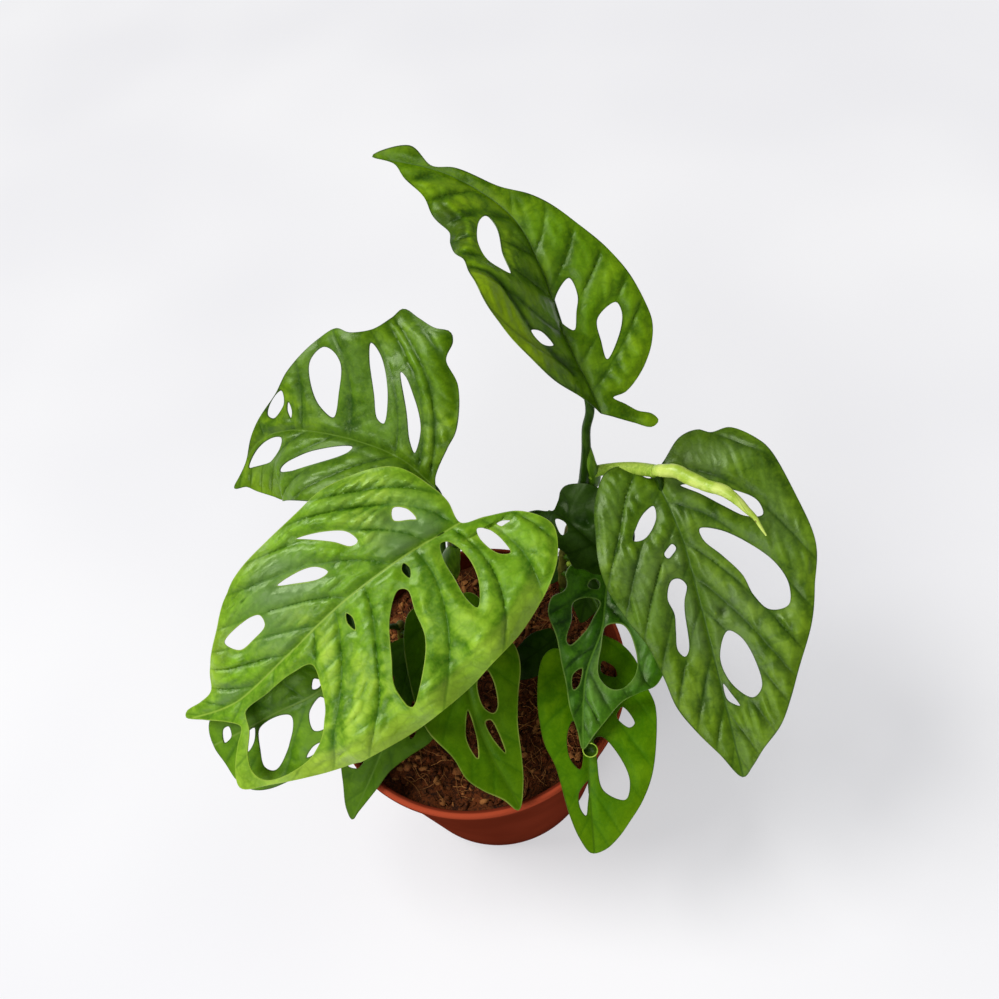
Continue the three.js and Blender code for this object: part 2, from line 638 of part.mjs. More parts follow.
// The blade as a thin solid: two faces cut into the same triangles, and a wall round every edge.
function bladeGeometry(leaf, surface) {
  const { points, triangles } = flatMesh(leaf, surface.length);
  const middle = points.map(([u, v]) => surface.at(u, v));
  const normals = middle.map(() => new THREE.Vector3());
  triangles.forEach(([a, b, c]) => {
    const face = middle[b].clone().sub(middle[a]).cross(middle[c].clone().sub(middle[a]));
    [a, b, c].forEach((i) => normals[i].add(face));
  });
  normals.forEach((normal) => normal.setLength(BLADE_THICKNESS / 2));
  const sheet = (side) => middle.map((p, i) => p.clone().addScaledVector(normals[i], side));
  const n = points.length;
  const edges = new Map();
  triangles.forEach((t) =>
    t.forEach((a, k) => {
      const b = t[(k + 1) % 3];
      if (!edges.delete(`${b},${a}`)) {
        edges.set(`${a},${b}`, [a, b]);
      }
    }),
  );
  const walls = [...edges.values()].flatMap(([a, b]) => [
    [b, a, a + n],
    [b, a + n, b + n],
  ]);
  return geometryFrom(
    [...sheet(1), ...sheet(-1)],
    [...triangles, ...triangles.map(([a, b, c]) => [c + n, b + n, a + n]), ...walls],
  );
}

// The stalk, which runs on along the underside of the blade as its midrib.
function stalkGeometry(leaf, surface, room) {
  const under = [0, 0.06, 0.2, 0.4, 0.6, 0.8, 1].map((share) => {
    const u = RIB_START + share * (RIB_REACH * surface.length - RIB_START);
    const radius = leaf.neck + (RIB_END_RADIUS - leaf.neck) * share;
    const { point, normal } = surface.rib(u);
    return point.addScaledVector(normal, BLADE_THICKNESS / 4 - radius);
  });
  const path = [...leaf.stalk.map(vec), ...under];
  const curve = new THREE.CatmullRomCurve3(path, false, "centripetal");
  curve.arcLengthDivisions = ARC_DIVISIONS;
  const length = curve.getLength();
  const count = Math.round(length / STALK_STEP);
  const ribStart = length - RIB_REACH * surface.length;
  const radii = [...Array(count + 1).keys()].map((i) => {
    const s = (i / count) * length;
    const foot = leaf.neck + (leaf.base - leaf.neck) * (1 - smooth(s / leaf.foot));
    return foot + (RIB_END_RADIUS - leaf.neck) * Math.max(0, (s - ribStart) / (length - ribStart));
  });
  return bar(curve.getSpacedPoints(count), radii, STALK_SIDES, room);
}

// A leaf's stalk and sheath as one solid.
function stalkSolid(leaf, room = 0) {
  const stalk = solidOf(stalkGeometry(leaf, bladeSurface(leaf), room));
  return leaf.sheath ? stalk.add(solidOf(limb(leaf.sheath, STEM_STEP, STEM_SIDES, room))) : stalk;
}

// ---- stems ----
function stemSolid(stem, room = 0) {
  const curve = new THREE.CatmullRomCurve3(stem.path.map(vec), false, "centripetal");
  const count = Math.round(curve.getLength() / STEM_STEP);
  const points = curve.getSpacedPoints(count);
  const radii = points.map((p) => {
    const swell = stem.joints.reduce((sum, z) => sum + Math.exp(-(((p.z - z) / NODE_SPREAD) ** 2)), 0);
    return stem.radius + NODE_SWELL * Math.min(1, swell);
  });
  return solidOf(bar(points, radii, STEM_SIDES, room));
}

// ---- pot ----
const wallRadius = (z) => mix([POT_BASE_RADIUS, POT_RIM_RADIUS - LIP_REACH], z / POT_HEIGHT);

function potSolid() {
  const inner = (z) => wallRadius(z) - POT_WALL;
  const lipFoot = POT_HEIGHT - LIP_HEIGHT;
  const profile = [
    [0, 0],
    [POT_BASE_RADIUS - POT_FOOT, 0],
    [wallRadius(POT_FOOT), POT_FOOT],
    [wallRadius(lipFoot - LIP_REACH), lipFoot - LIP_REACH],
    [POT_RIM_RADIUS - LIP_ROUND / 3, lipFoot],
    [POT_RIM_RADIUS, lipFoot + LIP_ROUND],
    [POT_RIM_RADIUS, POT_HEIGHT - LIP_ROUND],
    [POT_RIM_RADIUS - LIP_ROUND, POT_HEIGHT],
    [inner(POT_HEIGHT) + LIP_ROUND / 2, POT_HEIGHT],
    [inner(POT_HEIGHT - LIP_ROUND), POT_HEIGHT - LIP_ROUND],
    [inner(POT_WALL + POT_FOOT), POT_WALL + POT_FOOT],
    [inner(POT_WALL) - POT_FOOT, POT_WALL],
    [0, POT_WALL],
  ].map(([r, z]) => new THREE.Vector2(r, z));
  const body = new THREE.LatheGeometry(profile, POT_SIDES);
  body.rotateX(Math.PI / 2);
  let solid = solidOf(body);
  for (let i = 0; i < DRAIN_COUNT; i++) {
    const angle = (2 * Math.PI * i) / DRAIN_COUNT;
    const drain = new THREE.CylinderGeometry(DRAIN_RADIUS, DRAIN_RADIUS, 4 * POT_WALL, 12);
    drain.rotateX(Math.PI / 2);
    drain.translate(DRAIN_CIRCLE_RADIUS * Math.cos(angle), DRAIN_CIRCLE_RADIUS * Math.sin(angle), 0);
    solid = solid.subtract(solidOf(drain));
  }
  return solid;
}

// ---- soil: fills the pot, with a lumpy top and a plain hole for each stem ----
const soilRadius = (z) => (wallRadius(z) - POT_WALL) * Math.cos(Math.PI / POT_SIDES) - GAP;

function soilSolid() {
  const bottom = POT_WALL + GAP;
  const lump = (x, y) => Math.sin(0.21 * x + 1.3) * Math.cos(0.17 * y) + 0.6 * Math.sin(0.33 * x - 0.29 * y);
  const points = [];
  const ring = (radius, height) => {
    for (let k = 0; k < SOIL_SIDES; k++) {
      const a = (2 * Math.PI * k) / SOIL_SIDES;
      const x = radius * Math.cos(a);
      const y = radius * Math.sin(a);
      points.push(new THREE.Vector3(x, y, height(x, y)));
    }
  };
  const top = (x, y) => SOIL_TOP + SOIL_RELIEF * lump(x, y);
  const levels = [
    [soilRadius(bottom) - SOIL_FOOT, () => bottom],
    [soilRadius(bottom + POT_FOOT), () => bottom + POT_FOOT],
    [soilRadius(SOIL_TOP - SOIL_EDGE), () => SOIL_TOP - SOIL_EDGE],
  ];
  levels.forEach(([radius, height]) => ring(radius, height));
  for (let j = 0; j < SOIL_RINGS; j++) {
    ring(soilRadius(SOIL_TOP - SOIL_EDGE) * (1 - j / SOIL_RINGS) - (j ? 0 : GAP), top);
  }
  const rings = levels.length + SOIL_RINGS;
  const below = points.push(new THREE.Vector3(0, 0, bottom)) - 1;
  const above = points.push(new THREE.Vector3(0, 0, top(0, 0))) - 1;
  const triangles = [];
  for (let k = 0; k < SOIL_SIDES; k++) {
    const next = (k + 1) % SOIL_SIDES;
    triangles.push([below, next, k]);
    for (let j = 0; j < rings - 1; j++) {
      const a = j * SOIL_SIDES;
      const b = a + SOIL_SIDES;
      triangles.push([a + k, a + next, b + next], [a + k, b + next, b + k]);
    }
    const edge = (rings - 1) * SOIL_SIDES;
    triangles.push([edge + k, edge + next, above]);
  }
  return solidOf(geometryFrom(points, triangles));
}

// ---- the plant in its pot ----
const plant = new THREE.Group();

function add(name, solid, colour, roughness) {
  const material = new THREE.MeshStandardMaterial({ color: colour, roughness, metalness: 0 });
  const mesh = new THREE.Mesh(geometryOf(solid), material);
  mesh.name = name;
  plant.add(mesh);
}

const stemRoom = Object.values(STEMS).map((stem) => stemSolid(stem, GAP));
const cutByStems = (solid) => stemRoom.reduce((rest, stem) => rest.subtract(stem), solid);

add("pot", potSolid(), 0x9a4128, 0.45);
add("soil", cutByStems(soilSolid()), 0x4a2c1c, 1);
Object.entries(STEMS).forEach(([name, stem]) => add(name, stemSolid(stem), 0x5b6a24, 0.6));

Object.entries(LEAVES).forEach(([name, leaf]) => {
  const blade = solidOf(bladeGeometry(leaf, bladeSurface(leaf)));
  const grown = cutByStems(blade.add(stalkSolid(leaf)));
  const seat = name === "leaf_right" ? stalkSolid(LEAVES.leaf_top, GAP) : null;
  add(name, seat ? grown.subtract(seat) : grown, leaf.colour, 0.4);
});

const newLeaf = solidOf(limb(NEW_LEAF, NEW_LEAF_STEP, STEM_SIDES));
add("new_leaf", newLeaf.subtract(stalkSolid(LEAVES.leaf_right, GAP)), 0x9dbb4a, 0.45);

export default plant;
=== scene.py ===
"""Monstera adansonii in a round plastic nursery pot: the looks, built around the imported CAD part.
Shapes are in millimetres in the part's frame, as in the CAD, and publish() turns them into metres. Materials,
lamps and the floor are in metres."""
import math
from itertools import combinations

import bpy
import numpy as np
from mathutils import Matrix, Vector
from mathutils.geometry import delaunay_2d_cdt


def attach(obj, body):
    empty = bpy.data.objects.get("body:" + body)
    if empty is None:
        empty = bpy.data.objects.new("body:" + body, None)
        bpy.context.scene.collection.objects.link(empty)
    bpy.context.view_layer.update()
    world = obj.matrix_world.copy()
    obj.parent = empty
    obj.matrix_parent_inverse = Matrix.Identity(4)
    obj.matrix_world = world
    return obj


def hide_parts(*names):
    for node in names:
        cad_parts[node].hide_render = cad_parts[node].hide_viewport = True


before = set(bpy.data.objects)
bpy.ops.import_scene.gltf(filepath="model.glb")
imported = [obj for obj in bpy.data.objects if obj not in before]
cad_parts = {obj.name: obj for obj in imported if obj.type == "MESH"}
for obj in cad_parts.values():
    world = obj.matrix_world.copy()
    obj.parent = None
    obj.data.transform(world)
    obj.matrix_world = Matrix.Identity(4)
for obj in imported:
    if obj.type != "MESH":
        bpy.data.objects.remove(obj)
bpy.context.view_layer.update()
MM = 0.001

# ---- camera: degrees to the right of +Y, down from the level, and about its own axis ----
CAMERA_PLACE = (0, -206.672, 460.936)
CAMERA_TURN = 6.425
CAMERA_DOWN = 52.498
CAMERA_ROLL = -11.704
FOCAL_PIXELS = 1050
IMAGE_PIXELS = 999
SENSOR = 36

camera_data = bpy.data.cameras.new("camera")
camera_data.sensor_width = SENSOR
camera_data.lens = SENSOR * FOCAL_PIXELS / IMAGE_PIXELS
camera_data.clip_start = 0.01
camera = bpy.data.objects.new("camera", camera_data)
bpy.context.scene.collection.objects.link(camera)
camera.matrix_world = (
    Matrix.Translation(Vector(CAMERA_PLACE) * MM)
    @ Matrix.Rotation(math.radians(-CAMERA_TURN), 4, "Z")
    @ Matrix.Rotation(math.radians(90 - CAMERA_DOWN), 4, "X")
    @ Matrix.Rotation(math.radians(CAMERA_ROLL), 4, "Z")
)
bpy.context.scene.camera = camera

# ---- pot and soil ----
POT_HEIGHT = 85
POT_RIM = 60
POT_BASE = 42
POT_WALL = 1.6
POT_SIDES = 160
LIP_HEIGHT = 4
LIP_REACH = 1.2
DRAIN_COUNT = 6
DRAIN_RADIUS = 4
DRAIN_CIRCLE_RADIUS = 29
DRAIN_SIDES = 28
DRAIN_MARGIN = 0.98  # the base is open nearer to a hole's middle than this share of its radius
SOIL_TOP = 78
SOIL_SHOULDER = 73
SOIL_BOTTOM = 3
SOIL_ROOM = 0.35  # between its top and the pot's wall
SOIL_SIDE_ROOM = 0.4
SOIL_RINGS = 46
SOIL_SIDES = 150
FIBRE_POINTS = 9
CRUMB_ROOM = 2.5
FIBRE_ROOM = 6
FIBRE_END_ROOM = 1.5

# ---- stems: the path, the radius, and the heights of the swollen joints ----
STEMS = dict(
    stem_right=dict(
        path=[
            (38, 23, 50), (43, 26, 64), (45, 27, 76), (46, 28, 94),
            (49, 30, 109), (55, 32, 124), (60, 34, 136),
        ],
        radius=1.6,
        joints=[82, 87, 95, 104, 117, 134],
    ),
    stem_left=dict(
        path=[(-3, 44, 46), (-2, 42, 76), (0, 38, 95), (3, 34, 115), (6, 30, 134)],
        radius=1.9,
        joints=[88, 97, 131],
    ),
    stem_mid=dict(
        path=[(-27, 30, 50), (-26, 28, 76), (-25, 26, 88), (-24, 24, 98)],
        radius=1.7,
        joints=[84, 94],
    ),
)
JOINT_SWELL = 0.35
JOINT_REACH = 2.0
JOINT_RING = 0.12
JOINT_RING_REACH = 0.5
JOINT_RING_RISE = 0.4

# ---- leaves ----
# rib, up, fold, curl, wave, turn, outline, holes, stalk, base, neck, foot and sheath say what they say in the
# CAD. One number for fold or curl holds for the whole leaf. Four are those of the left half and of the right
# half, each at the base and at the tip.
# lean: how far a side vein runs towards the tip for each mm outward, at the base and at the tip: one pair, or
# one for the left half and one for the right. sweep: how much that grows with the distance from the rib.
# veins: where the side veins leave the rib, left and right. relief: height of the quilting between them.
# look: the material. The painted sheen, a pair: how much painted grey sheen the left and the right half get.
# hem: a margin that bends down. side is 1 for left, first and last are places along the rib, and pale is
# how much painted light the bent margin gets, or its painted shade where pale is below 0.
# crease: a sharp fold through some points, with painted shade along it. The blade beyond it gets painted
# light along the stretch of the rib that pale names.
# dents: round hollows at u, v with a radius and a depth, with painted shade in them.
# pockets: the young holes, by number, that are still closed below, by cups painted dark as shade.
PLAIN_LEAF = dict(curl=0.004, turn=0.4, holes=[], sweep=0.012, bloom=(0, 0), dents=[], pockets=[])
LEAVES = {}


def add_leaf(name, **facts):
    LEAVES[name] = {**PLAIN_LEAF, **facts}


add_leaf(
    "leaf_top",
    rib=[(66, 36, 190), (63, 50, 201), (62, 71, 216), (58, 89, 227), (41, 104, 240), (17, 117, 247)],
    up=(0.15, -0.75, 0.65), fold=((52, 30), (14, 14)), curl=((0.006, 0.006), (0.004, 0.004)),
    wave=(0.8, 31, 0.5), turn=22,
    outline=[
        (-7, -6), (-11, -9), (-15, -12), (-18, -16), (-21, -17), (-22, -14), (-18, -9), (-12, -2), (-3, 9),
        (6, 23), (16, 30), (26, 36), (34, 40), (43, 39), (56, 35), (64, 34), (75, 28), (80, 23), (91, 19),
        (97, 13), (106, 7), (112, 1), (120, 0), (108, -6), (99, -1), (91, -3), (76, -5), (67, -10),
        (54, -17), (43, -24), (29, -29), (15, -31), (6, -27), (-2, -20), (-7, -11),
    ],
    holes=[
        [(72, 14), (72, 9), (67, 10), (54, 17), (43, 20), (50, 26), (63, 24)],
        [(38, -8), (31, -9), (26, -7), (20, -4), (26, 0), (33, -1)],
        [(24, -21), (20, -22), (14, -19), (6, -10), (13, -11), (21, -13)],
        [(23, 22), (22, 15), (17, 11), (18, 19)],
    ],
    stalk=[(57, 34, 132), (60, 33, 140), (61, 32, 150), (62, 32, 161), (63, 33, 172), (65, 33, 182)],
    base=2.6, neck=1.65, foot=40,
    sheath=dict(
        path=[(60, 33, 137), (63, 32, 141), (64, 31, 147), (63, 30, 155), (63, 31, 160), (63, 32, 164)],
        radii=[1.9, 2.8, 2.5, 2.1, 1.5, 0.7],
    ),
    lean=((0.2, 1.3), (0.5, 1.5)), sweep=0.01, relief=2.3, look="green", bloom=(0.15, 0.1),
    veins=[[-6, 6, 20, 33, 48, 64, 80, 95], [-2, 8, 23, 36, 50, 66, 84]],
    hem=dict(side=1, first=58, last=100, width=8, drop=4.5, pale=-0.9),
    crease=dict(
        points=[(50, 35), (42, 29), (33, 26), (23, 21), (15, 15), (6, 8)], depth=1.3, pale=(6, 52),
    ),
)
add_leaf(
    "leaf_back",
    rib=[(5, 55, 138), (-4, 69, 143), (-22, 86, 145), (-46, 105, 140), (-61, 112, 131), (-76, 107, 117)],
    up=(-0.1, -0.62, 0.78), fold=((26, 20), (10, 10)), curl=0.006, wave=(0.9, 26, 1.0), turn=22,
    outline=[
        (2, -4), (4, -15), (5, -23), (13, -37), (20, -43), (21, -51), (23, -54), (27, -53), (33, -55),
        (38, -57), (40, -52), (44, -45), (50, -42), (55, -43), (62, -37), (70, -25), (76, -15), (89, -6),
        (103, 0), (117, 1), (112, 6), (109, 12), (102, 21), (95, 28), (78, 30), (56, 30), (30, 27),
        (16, 22), (3, 13), (-3, 4),
    ],
    holes=[
        [(59, -35), (55, -34), (51, -29), (50, -18), (51, -7), (58, -11), (62, -19), (63, -29)],
        [(43, -40), (39, -36), (32, -21), (30, -10), (33, -11), (37, -20), (42, -33)],
        [(31, -32), (29, -31), (24, -25), (16, -14), (14, -5), (18, -8), (24, -18)],
        [(73, -17), (73, -11), (79, -6), (81, -8)],
        [(71, -12), (70, -8), (71, -5), (72, -8)],
        [(77, 3), (79, 8), (91, 11), (102, 5), (104, 3), (95, 2)],
        [(39, 3), (40, 6), (49, 12), (67, 18), (80, 17), (66, 12), (56, 8)],
    ],
    stalk=[(0, 38, 96), (1, 43, 109), (4, 49, 124), (6, 53, 134)], base=2, neck=1.3, foot=12,
    lean=((0.9, 2.6), (0.42, -0.5)), sweep=0.006, relief=1.7, look="back", bloom=(0.35, 0.15),
    veins=[[0, 9, 20, 32, 48, 62, 76, 92], [3, 9, 21, 42, 66, 88]],
)
add_leaf(
    "leaf_front",
    rib=[(7, 20, 156), (-13, 16, 153), (-40, 11, 143), (-67, 5, 128), (-90, 2, 114), (-112, 7, 104)],
    up=(-0.2, -0.5, 0.84), fold=8, wave=(1.0, 34, 0),
    outline=[
        (-3, 0), (-3, -9), (-1, -16), (6, -28), (16, -34), (30, -37), (41, -36), (55, -36), (68, -35),
        (83, -32), (95, -25), (113, -15), (117, -8), (124, -5), (132, -3), (133, -1), (124, 2), (115, 5),
        (110, 9), (113, 15), (116, 23), (116, 30), (109, 33), (94, 43), (75, 49), (62, 52), (40, 53),
        (22, 51), (4, 47), (-10, 41), (-20, 35), (-27, 28), (-31, 18), (-24, 8), (-12, 3),
    ],
    holes=[
        [(15, -17), (11, -14), (10, -9), (12, -10), (17, -13)],
        [(-14, 7), (-16, 7), (-18, 8), (-19, 9), (-17, 9), (-15, 9)],
        [(48, -29), (38, -24), (32, -19), (31, -14), (34, -14), (38, -19), (45, -26)],
        [(63, -21), (53, -19), (48, -16), (46, -12), (50, -12), (58, -17)],
        [(95, -20), (87, -21), (76, -18), (77, -14), (85, -13), (92, -14)],
        [(7, 3), (4, 4), (1, 12), (2, 22), (7, 30), (9, 25), (9, 17), (9, 9)],
        [(-7, 5), (-11, 8), (-13, 19), (-9, 17), (-6, 9)],
        [(22, 2), (21, 5), (23, 8), (24, 4)],
        [(29, 9), (26, 11), (28, 19), (30, 28), (36, 36), (48, 45), (53, 45), (53, 37), (46, 28), (37, 15)],
        [(50, 4), (49, 7), (51, 11), (52, 7)],
        [
            (106, 5), (94, 5), (82, 6), (73, 9), (75, 17), (80, 26), (90, 32), (98, 34), (108, 32),
            (111, 27), (111, 20), (108, 12),
        ],
    ],
    stalk=[(6, 30, 130), (8, 27, 141), (10, 23, 150)], base=2.1, neck=1.4, foot=12,
    sheath=dict(path=[(2, 35, 104), (2, 33, 110), (3, 31, 121), (6, 29, 132)], radii=[2.4, 3.8, 3.8, 2.2]),
    lean=((-0.56, 1.87), (0.34, 2.6)), sweep=(0.014, 0.03), relief=2.6, look="bright", bloom=(0.05, 0.6),
    veins=[[-16, -8, 1, 16, 39, 53, 64, 86, 104], [-9, -1, 11, 26, 46, 62, 78, 96]],
    hem=dict(side=1, first=-22, last=112, width=9, drop=3.2, pale=0.35),
    pockets=[7, 9],
)
add_leaf(
    "leaf_right",
    rib=[(84, 16, 150), (85, -4, 143), (84, -27, 128), (82, -52, 112), (79, -79, 99)],
    up=(-0.2, -0.4, 0.9), fold=8, wave=(1.0, 30, 0.8),
    outline=[
        (-3, -2), (-10, -8), (-12, -12), (-11, -17), (-4, -23), (4, -27), (18, -31), (33, -31), (46, -27),
        (57, -22), (70, -19), (81, -17), (91, -12), (100, -6), (109, 0), (106, 4), (101, 9), (94, 17),
        (85, 23), (76, 28), (61, 36), (51, 40), (36, 44), (20, 43), (6, 41), (-2, 38), (-9, 32), (-10, 25),
        (-13, 21), (-13, 14), (-7, 5),
    ],
    holes=[
        [(7, -5), (12, -6), (18, -13), (17, -17), (11, -13), (8, -9)],
        [(23, -4), (25, -3), (27, -5), (28, -7), (26, -8), (24, -6)],
        [
            (36, -8), (36, -5), (39, -3), (44, -5), (48, -6), (62, -8), (64, -10), (61, -12), (54, -11),
            (48, -10), (42, -11),
        ],
        [
            (21, 7), (23, 13), (29, 21), (38, 29), (47, 32), (54, 30), (54, 23), (48, 19), (40, 17),
            (32, 12), (25, 7),
        ],
        [(58, 7), (61, 11), (70, 14), (80, 14), (83, 10), (77, 4), (67, 2)],
        [(76, 1), (80, 3), (85, 5), (82, 1)],
        [(4, 7), (7, 14), (13, 23), (19, 30), (23, 30), (22, 24), (17, 18), (10, 12)],
    ],
    stalk=[(82, 18, 156), (84, 16, 153)], base=1.8, neck=1.3, foot=8,
    sheath=dict(
        path=[(63, 31, 147), (65, 30, 150), (70, 29, 150), (77, 25, 152), (81, 21, 154), (83, 17, 157)],
        radii=[2, 2.2, 2.4, 2.4, 2.5, 2.4],
    ),
    lean=((0.47, 2.6), (0.8, 2.6)), sweep=(0.018, 0.028), relief=2.1, look="right", bloom=(0.22, 0.3),
    veins=[[-7, 8, 24, 36, 48, 66, 86], [-12, 2, 16, 31, 47, 64, 82]],
    dents=[(51, 7, 3.2, 1.3), (51, 4.6, 1.6, -0.8)],
)
add_leaf(
    "leaf_small",
    rib=[(53, -9, 120), (49, -17, 118), (39, -28, 111), (33, -40, 104), (29, -51, 98)],
    up=(0, -0.5, 0.86), fold=8, curl=0.008, wave=(0.9, 22, 0), turn=6,
    outline=[
        (-16, -2), (-15, -9), (-14, -14), (-10, -16), (-6, -15), (-3, -16), (0, -20), (8, -21), (13, -19),
        (19, -14), (25, -10), (31, -7), (39, -5), (47, -2), (54, 0), (49, 4), (44, 8), (36, 14), (31, 20),
        (25, 25), (15, 27), (1, 26), (-8, 20), (-11, 12), (-3, 4), (-13, 4),
    ],
    holes=[
        [(1, -12), (-2, -7), (-1, -2), (6, -4), (13, -6), (19, -9), (18, -11), (9, -12)],
        [(8, 1), (6, 7), (11, 13), (17, 17), (24, 17), (30, 14), (31, 10), (27, 5), (16, 2)],
        [(25, -2), (31, -2), (33, -4), (28, -5)],
        [(-6, -7), (-8, -7), (-10, -5), (-9, -3), (-6, -3)],
    ],
    stalk=[(48, 29, 103), (52, 19, 110), (55, 7, 115), (55, -2, 118)], base=1.6, neck=1.1, foot=9,
    sheath=dict(path=[(49, 27, 99), (51, 26, 103), (52, 26, 108), (53, 23, 112)], radii=[1.4, 2.2, 2.1, 1]),
    lean=(0.8, 2.2), sweep=0.014, relief=2.5, look="glossy", bloom=(0.35, 0.04),
    veins=[[-10, -1, 12, 24, 34, 44], [-9, -3, 16, 24, 36, 45]],
)
add_leaf(
    "leaf_low_right",
    rib=[(48, -11, 99), (38, -33, 98), (30, -53, 92), (22, -80, 71)],
    up=(0, -0.4, 0.9), fold=6, wave=(0.8, 27, 2),
    outline=[
        (-3, 0), (-1, 8), (5, 15), (15, 20), (24, 24), (38, 25), (53, 23), (63, 19), (70, 14), (76, 9),
        (80, 4), (81, -1), (75, -5), (66, -8), (49, -12), (42, -16), (36, -18), (26, -20), (12, -20),
        (7, -17), (6, -12), (4, -7), (-2, -4),
    ],
    holes=[
        [(33, -6), (38, -8), (46, -7), (50, -3), (41, -2)],
        [(54, 0), (63, -1), (67, -2), (64, -4), (58, -4)],
        [(39, 2), (38, 5), (46, 12), (55, 15), (62, 13), (58, 5), (46, 3)],
        [(26, 12), (32, 17), (34, 15), (30, 10)],
        [(8, 3), (10, 8), (14, 9), (13, 3)],
        [(11, -8), (11, -4), (15, -3), (21, -4), (22, -8), (16, -11)],
    ],
    stalk=[(46, 28, 94), (51, 17, 97), (54, 5, 98), (52, -4, 98)], base=1.6, neck=1.2, foot=9,
    lean=((0.6, 2.2), (0.4, 1.8)), relief=0.45, look="low",
    veins=[[-3, 7, 20, 34, 56, 68], [-2, 8, 20, 32, 52, 66]],
)
add_leaf(
    "leaf_low_middle",
    rib=[(-2, 13, 112), (-4, -7, 110), (-5, -35, 104), (1, -62, 90)],
    up=(0.1, -0.3, 0.9), fold=6, wave=(0.8, 26, 1),
    outline=[
        (-4, 0), (-7, 4), (-7, 8), (-4, 11), (1, 13), (8, 16), (20, 21), (28, 21), (38, 18), (51, 14),
        (63, 10), (73, 5), (80, -1), (74, -4), (67, -9), (61, -12), (53, -13), (44, -18), (37, -20),
        (20, -21), (6, -20), (-2, -17), (-6, -9),
    ],
    holes=[
        [(30, 4), (26, 8), (32, 10), (42, 9), (44, 7), (41, 4)],
        [(46, 3), (46, 5), (52, 6), (60, 5), (52, 3)],
        [(40, -2), (50, -2), (57, -5), (50, -6), (44, -4)],
    ],
    stalk=[(-1, 40, 87), (-3, 33, 97), (-3, 24, 105), (-2, 18, 109)], base=1.9, neck=1.2, foot=9,
    lean=(0.6, 2.0), relief=0.5, look="low_middle",
    veins=[[-4, 6, 16, 43, 58], [-4, 6, 17, 29, 46, 60]],
)
add_leaf(
    "leaf_low_left",
    rib=[(-21, 7, 104), (-32, -13, 101), (-45, -28, 93), (-61, -41, 79)],
    up=(-0.1, -0.3, 0.9), fold=6, wave=(0.7, 24, 0.5),
    outline=[
        (-2, 0), (-5, 4), (-2, 9), (8, 16), (20, 18), (30, 17), (38, 11), (46, 6), (54, 4), (66, 1),
        (70, 0), (67, -4), (59, -9), (54, -12), (40, -18), (25, -20), (10, -17), (0, -10), (-4, -4),
    ],
    holes=[
        [(52, -10), (48, -7), (46, -5), (51, -6)],
        [(20, 5), (27, 10), (33, 9), (27, 5)],
        [(12, -5), (18, -12), (27, -13), (26, -7)],
    ],
    stalk=[(-25, 27, 84), (-24, 22, 94), (-21, 14, 101)], base=1.7, neck=1.1, foot=8,
    lean=(0.6, 2.0), relief=0.5, look="low_left", bloom=(0, 0.2),
    veins=[[-3, 5, 14, 36, 50], [-3, 5, 30, 42, 56]],
)
add_leaf(
    "leaf_shaded",
    rib=[(58, 8, 131), (53, 14, 136), (49, 22, 137), (45, 29, 135), (37, 36, 129)],
    up=(0.25, -0.75, 0.6), fold=((10, 10), (25, 25)), curl=0.01, wave=(0.8, 19, 0),
    outline=[
        (39, 0), (34, -1), (29, 0), (25, -1), (24, -5), (24, -9), (23, -12), (18, -16), (11, -18), (2, -17),
        (-6, -12), (-8, -6), (-2, -1), (-8, 4), (-3, 9), (1, 10), (4, 12), (7, 11), (9, 10), (14, 11),
        (20, 10), (27, 7), (34, 3),
    ],
    holes=[
        [(22, 2), (18, 1), (14, 3), (14, 6), (18, 5)],
    ],
    stalk=[(52, 31, 117), (57, 25, 118), (62, 16, 121), (62, 8, 126)], base=1.6, neck=1, foot=7,
    lean=(0.3, 1.2), relief=0.5, look="shaded", bloom=(0.12, 0.15),
    veins=[[-3, 4, 11, 25, 32], [-3, 4, 17, 26, 33]],
    dents=[(11, -5, 4.0, 2.4), (14, -3, 2.5, 1.2)],
)
add_leaf(
    "leaf_tucked",
    rib=[(-47, 3, 113), (-61, -3, 111), (-78, -3, 106), (-91, -3, 101), (-105, -2, 95)],
    up=(-0.2, -0.5, 0.84), fold=4, wave=(0.6, 24, 1),
    outline=[
        (-3, -2), (2, -8), (12, -13), (25, -15), (40, -16), (54, -13), (61, -8), (63, 0), (61, 8), (59, 16),
        (55, 21), (48, 24), (37, 25), (25, 25), (14, 21), (4, 13), (-3, 5),
    ],
    holes=[
        [(15, -2), (12, -5), (10, -2), (13, -1)],
        [(14, 2), (13, 7), (17, 13), (21, 12), (20, 5)],
        [(41, 2), (27, 3), (28, 8), (35, 15), (43, 19), (46, 16), (45, 10)],
        [(46, 1), (43, 1), (46, 6), (50, 8), (50, 4)],
        [(56, -4), (53, -4), (54, 0), (58, 1)],
        [(20, 17), (24, 20), (27, 20), (23, 17)],
    ],
    stalk=[(-24, 25, 94), (-29, 21, 103), (-37, 12, 110), (-43, 6, 112)], base=1.7, neck=1.1, foot=8,
    lean=((0.2, 1.8), (0.3, 1.2)), relief=0.8, look="tucked", bloom=(0, 0.1),
    veins=[[-2, 6, 19, 34, 48], [-2, 6, 19, 32, 46]],
)
add_leaf(
    "leaf_ground",
    rib=[(32, -1, 92), (23, -5, 93), (9, -7, 88)],
    up=(0, -0.4, 0.9), fold=6, wave=(0.5, 17, 0),
    outline=[
        (-3, 0), (-3, -4), (1, -6), (6, -7), (12, -6), (19, -4), (25, 0), (18, 6), (10, 8), (2, 7), (-3, 3),
    ],
    stalk=[(45, 27, 82), (44, 19, 87), (40, 9, 90), (35, 2, 91)], base=1.6, neck=1, foot=7,
    lean=(0.3, 1.2), relief=0.3, look="shaded",
    veins=[[1, 7, 13, 19]],
)
